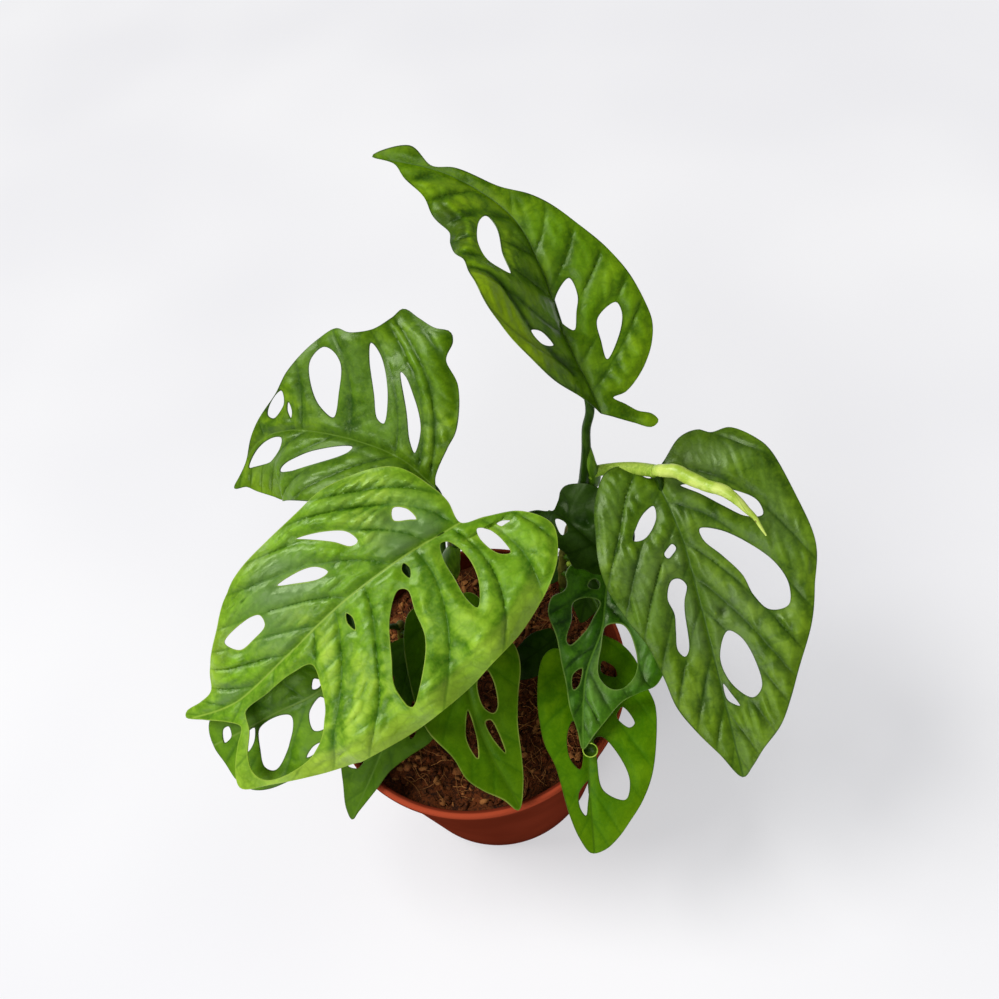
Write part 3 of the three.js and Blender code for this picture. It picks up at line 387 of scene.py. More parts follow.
add_leaf(
    "leaf_behind",
    rib=[(47, 37, 88), (52, 30, 89), (54, 21, 88), (48, 9, 87)],
    up=(0, -0.2, 0.95), fold=4, wave=(0.5, 19, 0),
    outline=[
        (-2, 0), (-3, -5), (-3, -10), (1, -12), (5, -9), (7, -5), (11, -4), (16, -5), (21, -6), (27, -5),
        (32, -2), (35, 0), (31, 4), (24, 7), (16, 7), (8, 7), (1, 6),
    ],
    stalk=[(46, 28, 85), (45, 33, 86), (46, 36, 87)], base=1.5, neck=0.9, foot=6,
    lean=(0.3, 1.2), relief=0.3, look="shaded",
    veins=[[1, 9, 17, 25]],
)

# ---- the young rolled leaf ----
NEW_LEAF = dict(
    path=[
        (83, 19, 155), (84, 15, 159), (88, 11, 162), (92, 6, 162), (96, 1, 162), (101, -4, 162),
        (104, -8, 160), (106, -11, 158), (108, -14, 156), (109, -17, 154), (110, -20, 152),
    ],
    radii=[1.4, 2.5, 2.6, 2.65, 2.6, 2.4, 2.2, 1.8, 1.3, 0.8, 0.3],
)
ROLL_STEP = 0.5
ROLL_SIDES = 40
ROLL_OVERLAP = 0.13  # how far the free margin stands above the roll, as a share of the radius
WRAP_PITCH = 6.5
WRAP_DEPTH = 0.05  # also a share of the radius

# ---- the small leaf's tip, which is rolled into a ring ----
TIP_CURL = dict(
    centre=(31.4, -52, 97.6), axis=(-0.2, -0.35, 0.92),
    radius=2.9, wall=0.45, depth=2.2, squash=0.92,
)
TIP_SIDES = 36
TIP_RIM_STEPS = 40
TIP_RIM_SIDES = 8

# ---- the cup below a young hole: widths against the hole's, and heights in mm, down and up again ----
POCKET_RINGS = [
    (1.2, -0.1), (1.15, -1.6), (0.85, -2.7), (0.4, -3.2),
    (0.35, -2.8), (0.78, -2.3), (1.02, -1.3), (1.06, -0.1),
]

# ---- mesh fineness, mm ----
BLADE_STEP = 0.85
EDGE_STEP = 1.0
HOLE_STEP = 0.8
POCKET_STEP = 0.5
BLADE_THICKNESS = 0.5
RIM_ROUND = 0.14
RIB_START = 3
RIB_REACH = 0.72
RIB_END_RADIUS = 0.5
TUBE_STEP = 1.5
TUBE_SIDES = 16
STEM_STEP = 0.8
STEM_SIDES = 20

# ---- low relief of the blades: mm, and shares of the leaf's own relief ----
LUMP_SIZE = (10.0, 9.0)
LUMP_SHARE = 0.28
CRUMPLE_SIZE = (6.5, 5.5)
CRUMPLE_SHARE = 0.08
RUNG_PITCH = 8.5
RUNG_SHARE = 0.2
PILLOW_SHARE = 0.6
SWELL_SHARE = 0.16
FLAT_EDGE = 4
VEIN_DEPTH = 0.24
VEIN_HALF_WIDTH = 0.8
VEIN_SPACING = 15  # beyond the first and the last side vein
VEINS_BEFORE = 20  # added to the count of side veins, so that it stays above 0
HALVES_APART = 200  # sets the noise of the two halves apart
LEAST_WIDENING = 0.2
RIB_DEPTH = 0.1
RIB_SHOULDER = 0.35
RIB_SHOULDER_PLACE = 2.6
RIB_FADE = 25
HEM_LIP = 0.5
CREASE_HALF_WIDTH = 1.5
TIP_PALE = 0.25  # how much paler a leaf is near its tip


def unit(v):
    v = np.asarray(v, float)
    return v / np.linalg.norm(v, axis=-1, keepdims=True)


def smooth(t):
    t = np.clip(t, 0, 1)
    return t * t * (3 - 2 * t)


def bell(distance, width):
    return np.exp(-(distance / width) ** 2)


def spline(points, closed=False, per=24):
    """A centripetal Catmull-Rom line through a few points, as a fine polyline."""
    p = np.asarray(points, float)
    if closed:
        ring = np.vstack([p[-1:], p, p[:2]])
    else:
        ring = np.vstack([2 * p[0] - p[1], p, 2 * p[-1] - p[-2]])
    p0, p1, p2, p3 = ring[:-3], ring[1:-2], ring[2:-1], ring[3:]
    d0, d1, d2 = (np.maximum(np.linalg.norm(b - a, axis=1, keepdims=True), 1e-9) ** 0.5
                  for a, b in ((p0, p1), (p1, p2), (p2, p3)))
    m1 = (p2 - p1) + d1 * ((p1 - p0) / d0 - (p2 - p0) / (d0 + d1))
    m2 = (p2 - p1) + d1 * ((p3 - p2) / d2 - (p3 - p1) / (d1 + d2))
    t = (np.arange(per) / per)[:, None, None]
    line = ((2 * t**3 - 3 * t**2 + 1) * p1 + (t**3 - 2 * t**2 + t) * m1
            + (3 * t**2 - 2 * t**3) * p2 + (t**3 - t**2) * m2)
    line = line.transpose(1, 0, 2).reshape(-1, p.shape[1])
    return line if closed else np.vstack([line, p[-1:]])


def arc(line):
    return np.concatenate([[0], np.cumsum(np.linalg.norm(np.diff(line, axis=0), axis=1))])


def along(line, s):
    """Points at the lengths s along a polyline."""
    length = arc(line)
    return np.stack([np.interp(s, length, line[:, k]) for k in range(line.shape[1])], -1)


def stations(path, step):
    """Even points along a smooth line through a path, and how far along it each of them lies."""
    line = spline(path)
    total = arc(line)[-1]
    s = np.linspace(0, total, max(3, round(total / step)) + 1)
    return along(line, s), s


def loop(points, step):
    line = spline(points, closed=True)
    line = np.vstack([line, line[:1]])
    total = arc(line)[-1]
    count = max(10, round(total / step))
    return along(line, np.arange(count) * total / count)


def turns(sides):
    return 2 * np.pi * np.arange(sides) / sides


def circle(sides):
    return np.stack([np.cos(turns(sides)), np.sin(turns(sides))], 1)


def hoop(sides, side, across):
    """A circle of radius 1 around the origin, in the plane of two directions."""
    return np.outer(np.cos(turns(sides)), side) + np.outer(np.sin(turns(sides)), across)


def spread(radii, s):
    """Radii at the lengths s, from a few that stand evenly along them."""
    return np.interp(s / s[-1], np.linspace(0, 1, len(radii)), radii)


def segments_distance(loops, points):
    """Distance from each point to the nearest of the closed loops."""
    best = np.full(len(points), 1e9)
    for line in loops:
        d = np.roll(line, -1, axis=0) - line
        for part in range(0, len(points), 2000):
            p = points[part:part + 2000, None]
            t = np.clip(((p - line) * d).sum(-1) / (d * d).sum(-1), 0, 1)
            gap = np.linalg.norm(p - line - t[..., None] * d, axis=-1).min(1)
            best[part:part + 2000] = np.minimum(best[part:part + 2000], gap)
    return best


def inside(line, points):
    a, b = line, np.roll(line, -1, axis=0)
    x, y = points[:, :1], points[:, 1:]
    crosses = (a[:, 1] > y) != (b[:, 1] > y)
    span = np.where(a[:, 1] == b[:, 1], 1, b[:, 1] - a[:, 1])
    hit = crosses & (x < (b[:, 0] - a[:, 0]) * (y - a[:, 1]) / span + a[:, 0])
    return hit.sum(1) % 2 == 1


def within(loops, points):
    """Which points lie inside the first loop and outside the others, which are its holes."""
    kept = inside(loops[0], points)
    for hole in loops[1:]:
        kept &= ~inside(hole, points)
    return kept


def triangulate(loops, extra=()):
    """Points and counter-clockwise triangles between them, none of which crosses one of the closed loops."""
    flat = np.vstack([*loops, *extra])
    borders = []
    first = 0
    for line in loops:
        n = len(line)
        borders += [(first + i, first + (i + 1) % n) for i in range(n)]
        first += n
    points, _, faces, *_ = delaunay_2d_cdt([Vector(p) for p in flat], borders, [], 0, 1e-6)
    flat = np.array([tuple(p) for p in points])
    tris = np.array([f for f in faces if len(f) == 3])
    corner = flat[tris]
    turn = np.cross(corner[:, 1] - corner[:, 0], corner[:, 2] - corner[:, 0])
    tris[turn < 0] = tris[turn < 0][:, ::-1]
    return flat, tris


def open_edges(tris):
    """The edges that only one of the triangles has."""
    edges = {}
    for a, b, c in tris:
        for start, end in ((a, b), (b, c), (c, a)):
            if (end, start) in edges:
                del edges[(end, start)]
            else:
                edges[(start, end)] = True
    return np.array(list(edges))


def bands(rings, sides, first=0):
    """Quads between rings of points that follow each other."""
    faces = []
    for i in range(rings - 1):
        for k in range(sides):
            a, b = first + i * sides + k, first + i * sides + (k + 1) % sides
            faces.append((a, b, b + sides, a + sides))
    return faces


def bar_faces(rings, sides):
    """The faces of a bar of rings with flat ends."""
    last = (rings - 1) * sides
    return bands(rings, sides) + [tuple(range(sides - 1, -1, -1)), tuple(range(last, last + sides))]


def cells(x, y, seed):
    """Cellular noise, 0 between the cells and up to 1 in their middles, and a number for each cell."""
    ix, iy = np.floor(x), np.floor(y)
    first = np.full(len(x), 9.0)
    second = np.full(len(x), 9.0)
    mark = np.zeros(len(x))
    for dx in (-1, 0, 1):
        for dy in (-1, 0, 1):
            cx, cy = ix + dx, iy + dy
            r = np.sin(cx * 127.1 + cy * 311.7 + seed) * 43758.5453
            q = np.sin(cx * 269.5 + cy * 183.3 + seed) * 12543.853
            r, q = r - np.floor(r), q - np.floor(q)
            d = np.hypot(x - cx - 0.1 - 0.8 * r, y - cy - 0.1 - 0.8 * q)
            closer = d < first
            second = np.where(closer, first, np.minimum(second, d))
            mark = np.where(closer, (r * 7.3 + q * 3.1) % 1, mark)
            first = np.where(closer, d, first)
    return smooth((second - first) / 0.8), mark


def waves(x, y, seed):
    """Soft noise from a few crossed sine waves, about -1 to 1."""
    total = 0
    for k in range(5):
        a = seed * 1.7 + k * 2.4
        pace = 1 + 0.35 * k
        total = total + np.sin(x * math.cos(a) * pace + y * math.sin(a) * pace + seed * (k + 1))
    return total / 3


class Blade:
    """A leaf's surface: the same formula as the CAD's, with quilting and veins added."""

    def __init__(self, leaf, seed):
        self.leaf = leaf
        self.seed = seed
        self.line = spline(leaf["rib"], per=60)
        self.arc = arc(self.line)
        self.length = self.arc[-1]
        self.hint = unit(leaf["up"])
        self.loops = [loop(leaf["outline"], EDGE_STEP)]
        self.loops += [loop(hole, HOLE_STEP) for hole in leaf["holes"]]

    def rib(self, u):
        """The rib's points at u, the blade's upward normals there, and its directions to the left."""
        u = np.asarray(u, float)
        held = np.clip(u, 0, self.length)
        reach = self.leaf["turn"]
        at = lambda s: np.stack([np.interp(s, self.arc, self.line[:, k]) for k in range(3)], -1)
        ahead = unit(at(np.minimum(held + reach, self.length)) - at(np.maximum(held - reach, 0)))
        point = at(held) + (u - held)[..., None] * ahead
        normal = unit(self.hint - (ahead @ self.hint)[..., None] * ahead)
        return point, normal, np.cross(normal, ahead)

    def vein_fields(self, u, v):
        """For each point: its place counted in side veins, the gap between them in mm, where its line leaves
        the rib, and how far out along that line it is."""
        leaf = self.leaf
        d = np.abs(v)
        count = np.zeros(len(u))
        gap = np.zeros(len(u))
        along_rib = np.zeros(len(u))
        out = d.copy()
        leans = np.broadcast_to(leaf["lean"], (2, 2))
        sweeps = np.broadcast_to(leaf["sweep"], 2)
        for side, here in ((0, v >= 0), (1, v < 0)):
            low, high = leans[side]
            sweep = sweeps[side]
            grow = (high - low) / self.length
            widen = np.maximum(1 + grow * d, LEAST_WIDENING)
            start = (u - low * d - sweep * d * d) / widen
            slope = low + grow * start + 2 * sweep * d
            stretch = widen / np.sqrt(1 + slope * slope)
            knots = np.array(leaf["veins"][side % len(leaf["veins"])], float)
            place = np.interp(start, knots, np.arange(len(knots)))
            beyond = np.minimum(start - knots[0], 0) + np.maximum(start - knots[-1], 0)
            place += beyond / VEIN_SPACING
            first = np.clip(np.floor(place), 0, len(knots) - 2).astype(int)
            count[here] = place[here] + VEINS_BEFORE
            gap[here] = ((knots[first + 1] - knots[first]) * stretch)[here]
            along_rib[here] = (start + HALVES_APART * side)[here]
            out[here] = (d * np.sqrt(1 + slope * slope))[here]
        return count, gap, along_rib, out

    def relief(self, u, v, edge):
        """Height of the veins and of the quilting between them, and what the material needs to know."""
        leaf, seed = self.leaf, self.seed
        soft = lambda size, number: waves(u / size, v / size, seed + number)
        d = np.abs(v)
        count, gap, start, out = self.vein_fields(u, v)
        vein = np.floor(count)
        share = count - vein
        between = 1 - np.abs(2 * share - 1)
        to_vein = between / 2 * gap
        to_tip = self.length - u
        margin = segments_distance(self.loops[:1], np.stack([u, v], 1))

        sway = soft(9, 5)
        lump, mark = cells(start / LUMP_SIZE[0] + 0.5 * soft(9, 0), out / LUMP_SIZE[1] + 0.5 * sway, seed)
        crumple, _ = cells(start / CRUMPLE_SIZE[0] + sway, out / CRUMPLE_SIZE[1] - sway, seed + 2)
        ruffle = 2.6 * sway + 1.7 * soft(5.5, 12)
        rung = 0.5 + 0.5 * np.sin(2 * np.pi * out / RUNG_PITCH + ruffle + 1.9 * vein)
        patchy = np.clip(0.45 + 0.8 * soft(16, 9), 0, 1.2)
        pillow = np.sin(np.pi * share ** (0.75 + 0.5 * (vein % 2))) ** 0.65
        fade = smooth(edge / FLAT_EDGE) * smooth(d / FLAT_EDGE)
        tip = 1 - 0.5 * smooth((u / self.length - 0.7) / 0.3)
        quilt = PILLOW_SHARE * pillow * (0.8 + 0.35 * soft(18, 1))
        fine = RUNG_SHARE * (rung - 0.5) * patchy + CRUMPLE_SHARE * (crumple - 0.4)
        quilt += fine * smooth(between * 2.5)
        quilt += (lump - 0.4) * LUMP_SHARE * mark * smooth(between * 3)
        quilt += SWELL_SHARE * soft(14, 3)
        height = leaf["relief"] * tip * fade * quilt
        groove = VEIN_DEPTH * leaf["relief"] ** 0.5 * bell(to_vein, VEIN_HALF_WIDTH)
        height -= groove * smooth(edge / 5) * smooth(d / 2)
        height -= RIB_DEPTH * bell(d, 1.0) * smooth(to_tip / RIB_FADE)
        height += RIB_SHOULDER * bell(d - RIB_SHOULDER_PLACE, 1.8) * smooth(to_tip / RIB_FADE)

        tone = 0.22 * smooth(1 - margin / 14) * np.clip(0.7 + 0.7 * soft(16, 6), 0, 1.3)
        tone -= 0.3 * bell(d, 8) * np.clip(0.8 + 0.5 * soft(12, 7), 0, 1.3)
        tone += TIP_PALE * smooth((u / self.length - 0.55) / 0.4)
        for add_form in (self.hem, self.crease, self.dents):
            more_height, more_tone_and_painted_light = add_form(u, v, edge, margin)
            height += more_height
            tone += more_tone_and_painted_light

        # A painted grey sheen on each half, in patches and most on the crests between the veins.
        bloom = np.where(v >= 0, leaf["bloom"][0], leaf["bloom"][1])
        patches = np.clip(0.7 + 0.9 * soft(10, 8), 0.05, 1.5)
        bloom = bloom * smooth((d - 0.6) / 2) * smooth((margin - 1) / 7) * patches * (0.25 + 0.85 * pillow)
        # high: lighter on the crests of the quilting and darker in its hollows, as painted light and painted
        # shade for the material.
        raised = 0.12 * (rung - 0.5) * patchy + 0.4 * (pillow - 0.6) + 0.3 * (lump - 0.45) * mark
        high = 0.5 + np.clip(raised * min(1, leaf["relief"]), -0.5, 0.5) * fade
        tone, bloom = np.clip(tone, -1, 1), np.clip(bloom, 0, 1)
        fields = dict(count=count, gap=gap, rib=d, high=high, tone=tone, bloom=bloom, edge=edge)
        if "crease" in leaf:
            # Near the crease, the painted shade of the vein lines widens and covers the fold.
            fields["gap"] = self.to_crease(u, v)  # the coloured lines widen towards the crease and cover it
        return height, fields

    def hem(self, u, v, edge, margin):
        """Height of the margin that bends down, and its painted light, or its painted shade where pale is
        below 0.
        """
        if "hem" not in self.leaf:
            return 0, 0
        hem = self.leaf["hem"]
        run = smooth((u - hem["first"]) / 12) * smooth((hem["last"] - u) / 14) * (v * hem["side"] > 6)
        drop = hem["drop"] * run * np.clip(1 - margin / hem["width"], 0, 1) ** 1.6
        lip = HEM_LIP * run * bell(margin - hem["width"], 1.6)
        return lip - drop, hem["pale"] * run * smooth((hem["width"] - margin) / 2.5)

    def to_crease(self, u, v):
        """Distance of each point from the sharp fold."""
        line = spline(self.leaf["crease"]["points"])
        return np.min(np.linalg.norm(line[None] - np.stack([u, v], 1)[:, None], axis=-1), axis=1)

    def crease(self, u, v, edge, margin):
        """Height of the sharp fold and the painted shade along it. The blade beyond it gets painted light."""
        if "crease" not in self.leaf:
            return 0, 0
        crease = self.leaf["crease"]
        away = self.to_crease(u, v)
        beyond = v - np.interp(u, *np.array(sorted(crease["points"]), float).T)
        first, last = crease["pale"]
        pale = 0.8 * smooth(beyond / 4) * smooth((last - u) / 8) * smooth((u - first) / 10)
        dip = crease["depth"] * bell(away, CREASE_HALF_WIDTH) * smooth(edge / 2)
        return -dip, pale - 0.9 * bell(away, 1.3)

    def dents(self, u, v, edge, margin):
        """Height of the round hollows and the painted shade in them. One with a depth below 0 is a bump, with
        painted light on it.
        """
        height, tone = 0, 0
        for middle_u, middle_v, size, depth in self.leaf["dents"]:
            hollow = np.exp(-((u - middle_u) ** 2 + (v - middle_v) ** 2) / (size / 1.6) ** 2)
            height = height - depth * hollow
            tone = tone - 0.9 * np.sign(depth) * hollow
        return height, tone

    def at(self, u, v, lift):
        """The points in space that lie at u along the rib and v out from it, lifted along the normal."""
        leaf = self.leaf
        point, normal, left = self.rib(u)
        w = smooth(u / self.length)
        half = (v < 0).astype(int)
        fold = np.radians(np.broadcast_to(np.array(leaf["fold"], float), (2, 2)))[half]
        curl = np.broadcast_to(np.array(leaf["curl"], float), (2, 2))[half]
        rise = fold[:, 0] + (fold[:, 1] - fold[:, 0]) * w
        bend = curl[:, 0] + (curl[:, 1] - curl[:, 0]) * w
        d = np.abs(v)
        out = (np.sin(rise) - np.sin(rise - bend * d)) / bend
        up = (np.cos(rise - bend * d) - np.cos(rise)) / bend
        size, pitch, start = leaf["wave"]
        ripple = size * (d / 30) ** 2 * np.sin(2 * np.pi * u / pitch + start + half)
        return point + left * (np.sign(v) * out)[:, None] + normal * (up + ripple + lift)[:, None]

    def grid(self):
        """Points of a triangular grid that lie within the blade, and not too near its edges."""
        low, high = np.vstack(self.loops).min(0), np.vstack(self.loops).max(0)
        row = BLADE_STEP * math.sqrt(0.75)
        grid = []
        for j in range(int(low[1] / row) - 2, int(high[1] / row) + 3):
            us = np.arange(low[0], high[0], BLADE_STEP) + (j % 2) * BLADE_STEP / 2
            grid.append(np.stack([us, np.full(len(us), j * row)], 1))
        grid = np.vstack(grid)
        grid = grid[within(self.loops, grid)]
        return grid[segments_distance(self.loops, grid) > 0.55 * BLADE_STEP]

    def mesh(self):
        """Vertices, faces and attributes of the thin closed blade."""
        flat, tris = triangulate(self.loops, [self.grid()])
        tris = tris[within(self.loops, flat[tris].mean(1))]
        used = np.unique(tris)
        renumber = np.zeros(len(flat), int)
        renumber[used] = np.arange(len(used))
        flat, tris = flat[used], renumber[tris]
        u, v = flat[:, 0], flat[:, 1]
        lift, fields = self.relief(u, v, segments_distance(self.loops, flat))
        middle = self.at(u, v, lift)
        face = np.cross(middle[tris[:, 1]] - middle[tris[:, 0]], middle[tris[:, 2]] - middle[tris[:, 0]])
        normal = np.zeros_like(middle)
        for k in range(3):
            np.add.at(normal, tris[:, k], face)
        normal = unit(normal)
        border = open_edges(tris)
        rim_ids = np.unique(border)
        place = {int(i): k for k, i in enumerate(rim_ids)}
        outward = np.zeros_like(middle)
        side = np.cross(middle[border[:, 1]] - middle[border[:, 0]], normal[border[:, 0]])
        for k in range(2):
            np.add.at(outward, border[:, k], side)
        rim = middle[rim_ids] + unit(outward[rim_ids]) * RIM_ROUND
        n = len(flat)
        half = normal * BLADE_THICKNESS / 2
        faces = [tuple(t) for t in tris] + [(c + n, b + n, a + n) for a, b, c in tris]
        for a, b in border:
            ra, rb = 2 * n + place[int(a)], 2 * n + place[int(b)]
            faces += [(b, a, ra, rb), (rb, ra, a + n, b + n)]
        whole = {key: np.concatenate([f, f, f[rim_ids]]) for key, f in fields.items()}
        whole["under"] = np.concatenate([np.zeros(n), np.ones(n), np.full(len(rim), 0.3)])
        return np.vstack([middle + half, middle - half, rim]), faces, whole


def frames(ahead):
    """Two directions across each step of a line, which turn as little as they can."""
    side = np.array([1.0, 0, 0]) if abs(ahead[0][2]) > 0.9 else np.array([0, 0, 1.0])
    for t in ahead:
        side = unit(side - (side @ t) * t)
        yield side, np.cross(t, side)


def tube(points, radius, sides=TUBE_SIDES, ends=0.6):
    """A round bar with domed ends through some points, each with its own radius."""
    ahead = unit(np.gradient(points, axis=0))
    first, last = radius[0], radius[-1]
    before = points[:1] - ahead[:1] * first * ends
    after = points[-1:] + ahead[-1:] * last * ends
    points = np.vstack([before, points, after])
    radius = np.concatenate([[first * 0.45], radius, [last * 0.45]])
    across = frames(np.vstack([ahead[:1], ahead, ahead[-1:]]))
    verts = [p + r * hoop(sides, *pair) for p, r, pair in zip(points, radius, across)]
    return np.vstack(verts), bar_faces(len(points), sides)


def rod(path, radii, sides=TUBE_SIDES, step=TUBE_STEP):
    """A tube along a smooth line, with radii that stand evenly along it."""
    points, s = stations(path, step)
    return tube(points, spread(radii, s), sides)


def cup(rings):
    """A closed solid from rings that run down its outside and up its inside, each with as many points."""
    sides = len(rings[0])
    half = len(rings) // 2
    below, above = len(rings) * sides, len(rings) * sides + 1
    faces = []
    for i in range(len(rings)):
        j = (i + 1) % len(rings)
        for k in range(sides):
            n = (k + 1) % sides
            a, b, c, d = i * sides + k, i * sides + n, j * sides + n, j * sides + k
            faces += [(a, b, below), (c, d, above)] if i == half - 1 else [(a, b, c, d)]
    return np.vstack([*rings, rings[half - 1].mean(0), rings[half].mean(0)]), faces


def pocket(blade, number):
    """The closed bottom of a young hole: a shallow cup that hangs from the hole's margin."""
    line = loop(blade.leaf["holes"][number], POCKET_STEP)
    middle = line.mean(0)
    rings = []
    for size, lift in POCKET_RINGS:
        u, v = (middle + (line - middle) * size).T
        rings.append(blade.at(u, v, np.full(len(line), lift)))
    return cup(rings)


def tip_circle(sides):
    """A circle of radius 1 across the axis of the small leaf's rolled tip, somewhat flattened."""
    axis = unit(TIP_CURL["axis"])
    side = unit(np.cross(axis, [0, 0, 1.0]))
    return hoop(sides, side, np.cross(axis, side) * TIP_CURL["squash"])


def curled_tip():
    """The small leaf's tip, rolled into a ring."""
    centre, axis, around = np.array(TIP_CURL["centre"]), unit(TIP_CURL["axis"]), tip_circle(TIP_SIDES)
    wide, thick, deep = TIP_CURL["radius"], TIP_CURL["wall"], TIP_CURL["depth"]
    steps = [
        (wide, 0), (wide * 0.9, -deep * 0.5), (wide * 0.55, -deep), (wide * 0.3, -deep - thick),
        (wide * 0.25, -deep), (wide * 0.5, -deep + thick),
        (wide * 0.9 - thick, -deep * 0.5), (wide - thick, 0),
    ]
    return cup([centre + around * r + axis * h for r, h in steps])


def curled_tip_rim():
    """The pale margin of that ring."""
    around = tip_circle(TIP_RIM_STEPS)
    middle_radius = TIP_CURL["radius"] - TIP_CURL["wall"] / 2
    points = TIP_CURL["centre"] + middle_radius * np.vstack([around, around[:1]])
    return tube(points, np.full(len(points), TIP_CURL["wall"] * 0.5), TIP_RIM_SIDES, ends=0)


def stalk_tube(leaf, blade):
    """The stalk, which runs on along the underside of the blade as its midrib."""
    share = np.array([0, 0.06, 0.2, 0.4, 0.6, 0.8, 1])
    rib_end = RIB_REACH * blade.length
    taper = RIB_END_RADIUS - leaf["neck"]
    point, normal, _ = blade.rib(RIB_START + share * (rib_end - RIB_START))
    under = point + normal * (BLADE_THICKNESS / 4 - leaf["neck"] - taper * share)[:, None]
    points, s = stations(np.vstack([np.array(leaf["stalk"], float), under]), TUBE_STEP)
    begin = s[-1] - rib_end
    foot = leaf["neck"] + (leaf["base"] - leaf["neck"]) * (1 - smooth(s / leaf["foot"]))
    return tube(points, foot + taper * np.maximum(0, (s - begin) / rib_end))


def publish(name, parts, materials, smooth_angle=50):
    """One object from parts of (vertices in mm, faces, attributes, material index)."""
    verts, faces, index, fields = [], [], [], {}
    total = 0
    for part_verts, part_faces, part_fields, material in parts:
        verts.append(part_verts)
        faces += [tuple(int(i) + total for i in f) for f in part_faces]
        index += [material] * len(part_faces)
        for key, values in part_fields.items():
            fields.setdefault(key, []).append((total, values))
        total += len(part_verts)
    mesh = bpy.data.meshes.new(name)
    mesh.from_pydata((np.vstack(verts) * MM).tolist(), [], faces)
    for material in materials:
        mesh.materials.append(material)
    mesh.polygons.foreach_set("material_index", index)
    mesh.polygons.foreach_set("use_smooth", [True] * len(faces))
    for key, chunks in fields.items():
        whole = np.zeros(total)
        for start, values in chunks:
            whole[start:start + len(values)] = values
        mesh.attributes.new(key, "FLOAT", "POINT").data.foreach_set("value", whole)
    mesh.validate()
    mesh.set_sharp_from_angle(angle=math.radians(smooth_angle))
    thing = bpy.data.objects.new(name, mesh)
    bpy.context.scene.collection.objects.link(thing)
    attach(thing, "root")
    return thing


# ---- materials: colours are sRGB, 0 to 255 ----
def linear(r, g, b):
    """An sRGB colour as the linear colour that the shader takes."""
    curve = lambda c: c / 12.92 if c <= 0.04045 else ((c + 0.055) / 1.055) ** 2.4
    return (curve(r / 255), curve(g / 255), curve(b / 255), 1)


class Nodes:
    """A short way to write a node tree."""

    def __init__(self, name):
        self.material = bpy.data.materials.new(name)
        self.material.use_nodes = True
        self.tree = self.material.node_tree
        self.shader = self.tree.nodes["Principled BSDF"]
        self.output = self.tree.nodes["Material Output"]
        self.place = self.tree.nodes.new("ShaderNodeTexCoord").outputs["Object"]

    def link(self, a, b):
        self.tree.links.new(a, b)

    def put(self, node, socket, value):
        if isinstance(value, bpy.types.NodeSocket):
            self.link(value, node.inputs[socket])
        else:
            node.inputs[socket].default_value = value

    def new(self, kind, **inputs):
        """A node with some of its inputs set. Their names have _ for each space, here and in set()."""
        node = self.tree.nodes.new("ShaderNode" + kind)
        for socket, value in inputs.items():
            self.put(node, socket.replace("_", " "), value)
        return node

    def set(self, **inputs):
        for socket, value in inputs.items():
            self.put(self.shader, socket.replace("_", " "), value)

    def attribute(self, name):
        node = self.new("Attribute")
        node.attribute_name = name
        return node.outputs["Fac"]

    def noise(self, scale, detail=3, rough=0.55, warp=0.0, place=None):
        node = self.new("TexNoise", Scale=scale, Detail=detail, Roughness=rough, Distortion=warp)
        self.put(node, "Vector", place or self.place)
        return node.outputs["Fac"]

    def net(self, scale):
        """Distance from the borders between the cells of an irregular net."""
        node = self.new("TexVoronoi", Scale=scale, Vector=self.place)
        node.feature = "DISTANCE_TO_EDGE"
        return node.outputs["Distance"]

    def math(self, kind, a, b):
        node = self.new("Math")
        node.operation = kind
        self.put(node, 0, a)
        self.put(node, 1, b)
        return node.outputs[0]

    def weighted(self, a, weight_a, b, weight_b):
        return self.math("ADD", self.math("MULTIPLY", a, weight_a), self.math("MULTIPLY", b, weight_b))

    def span(self, value, low, high, to_low=0.0, to_high=1.0):
        """A value between low and high as a soft step from to_low to to_high."""
        node = self.new("MapRange", Value=value, From_Min=low, From_Max=high, To_Min=to_low, To_Max=to_high)
        node.interpolation_type = "SMOOTHSTEP"
        return node.outputs["Result"]

    def mix(self, share, a, b):
        """A colour between a and b, each of which is a colour or a socket."""
        node = self.new("Mix", Factor=share)
        node.data_type = "RGBA"
        for socket, colour in ((6, a), (7, b)):
            self.put(node, socket, linear(*colour) if isinstance(colour, tuple) else colour)
        return node.outputs[2]

    def bump(self, height, strength, distance):
        normal = self.new("Bump", Strength=strength, Distance=distance, Height=height).outputs["Normal"]
        self.link(normal, self.shader.inputs["Normal"])
        return normal

    def translucent(self, share, colour, normal):
        """Lets some light through the surface, besides what the main shader gives back."""
        glowing = self.new("BsdfTranslucent", Color=colour, Normal=normal)
        both = self.new("MixShader", Fac=share)
        self.link(self.shader.outputs[0], both.inputs[1])
        self.link(glowing.outputs[0], both.inputs[2])
        self.link(both.outputs[0], self.output.inputs["Surface"])


LEAF_SHADOW = (20, 44, 6)
LEAF_SHEEN = (0.8, 1, 0.6, 1)  # linear


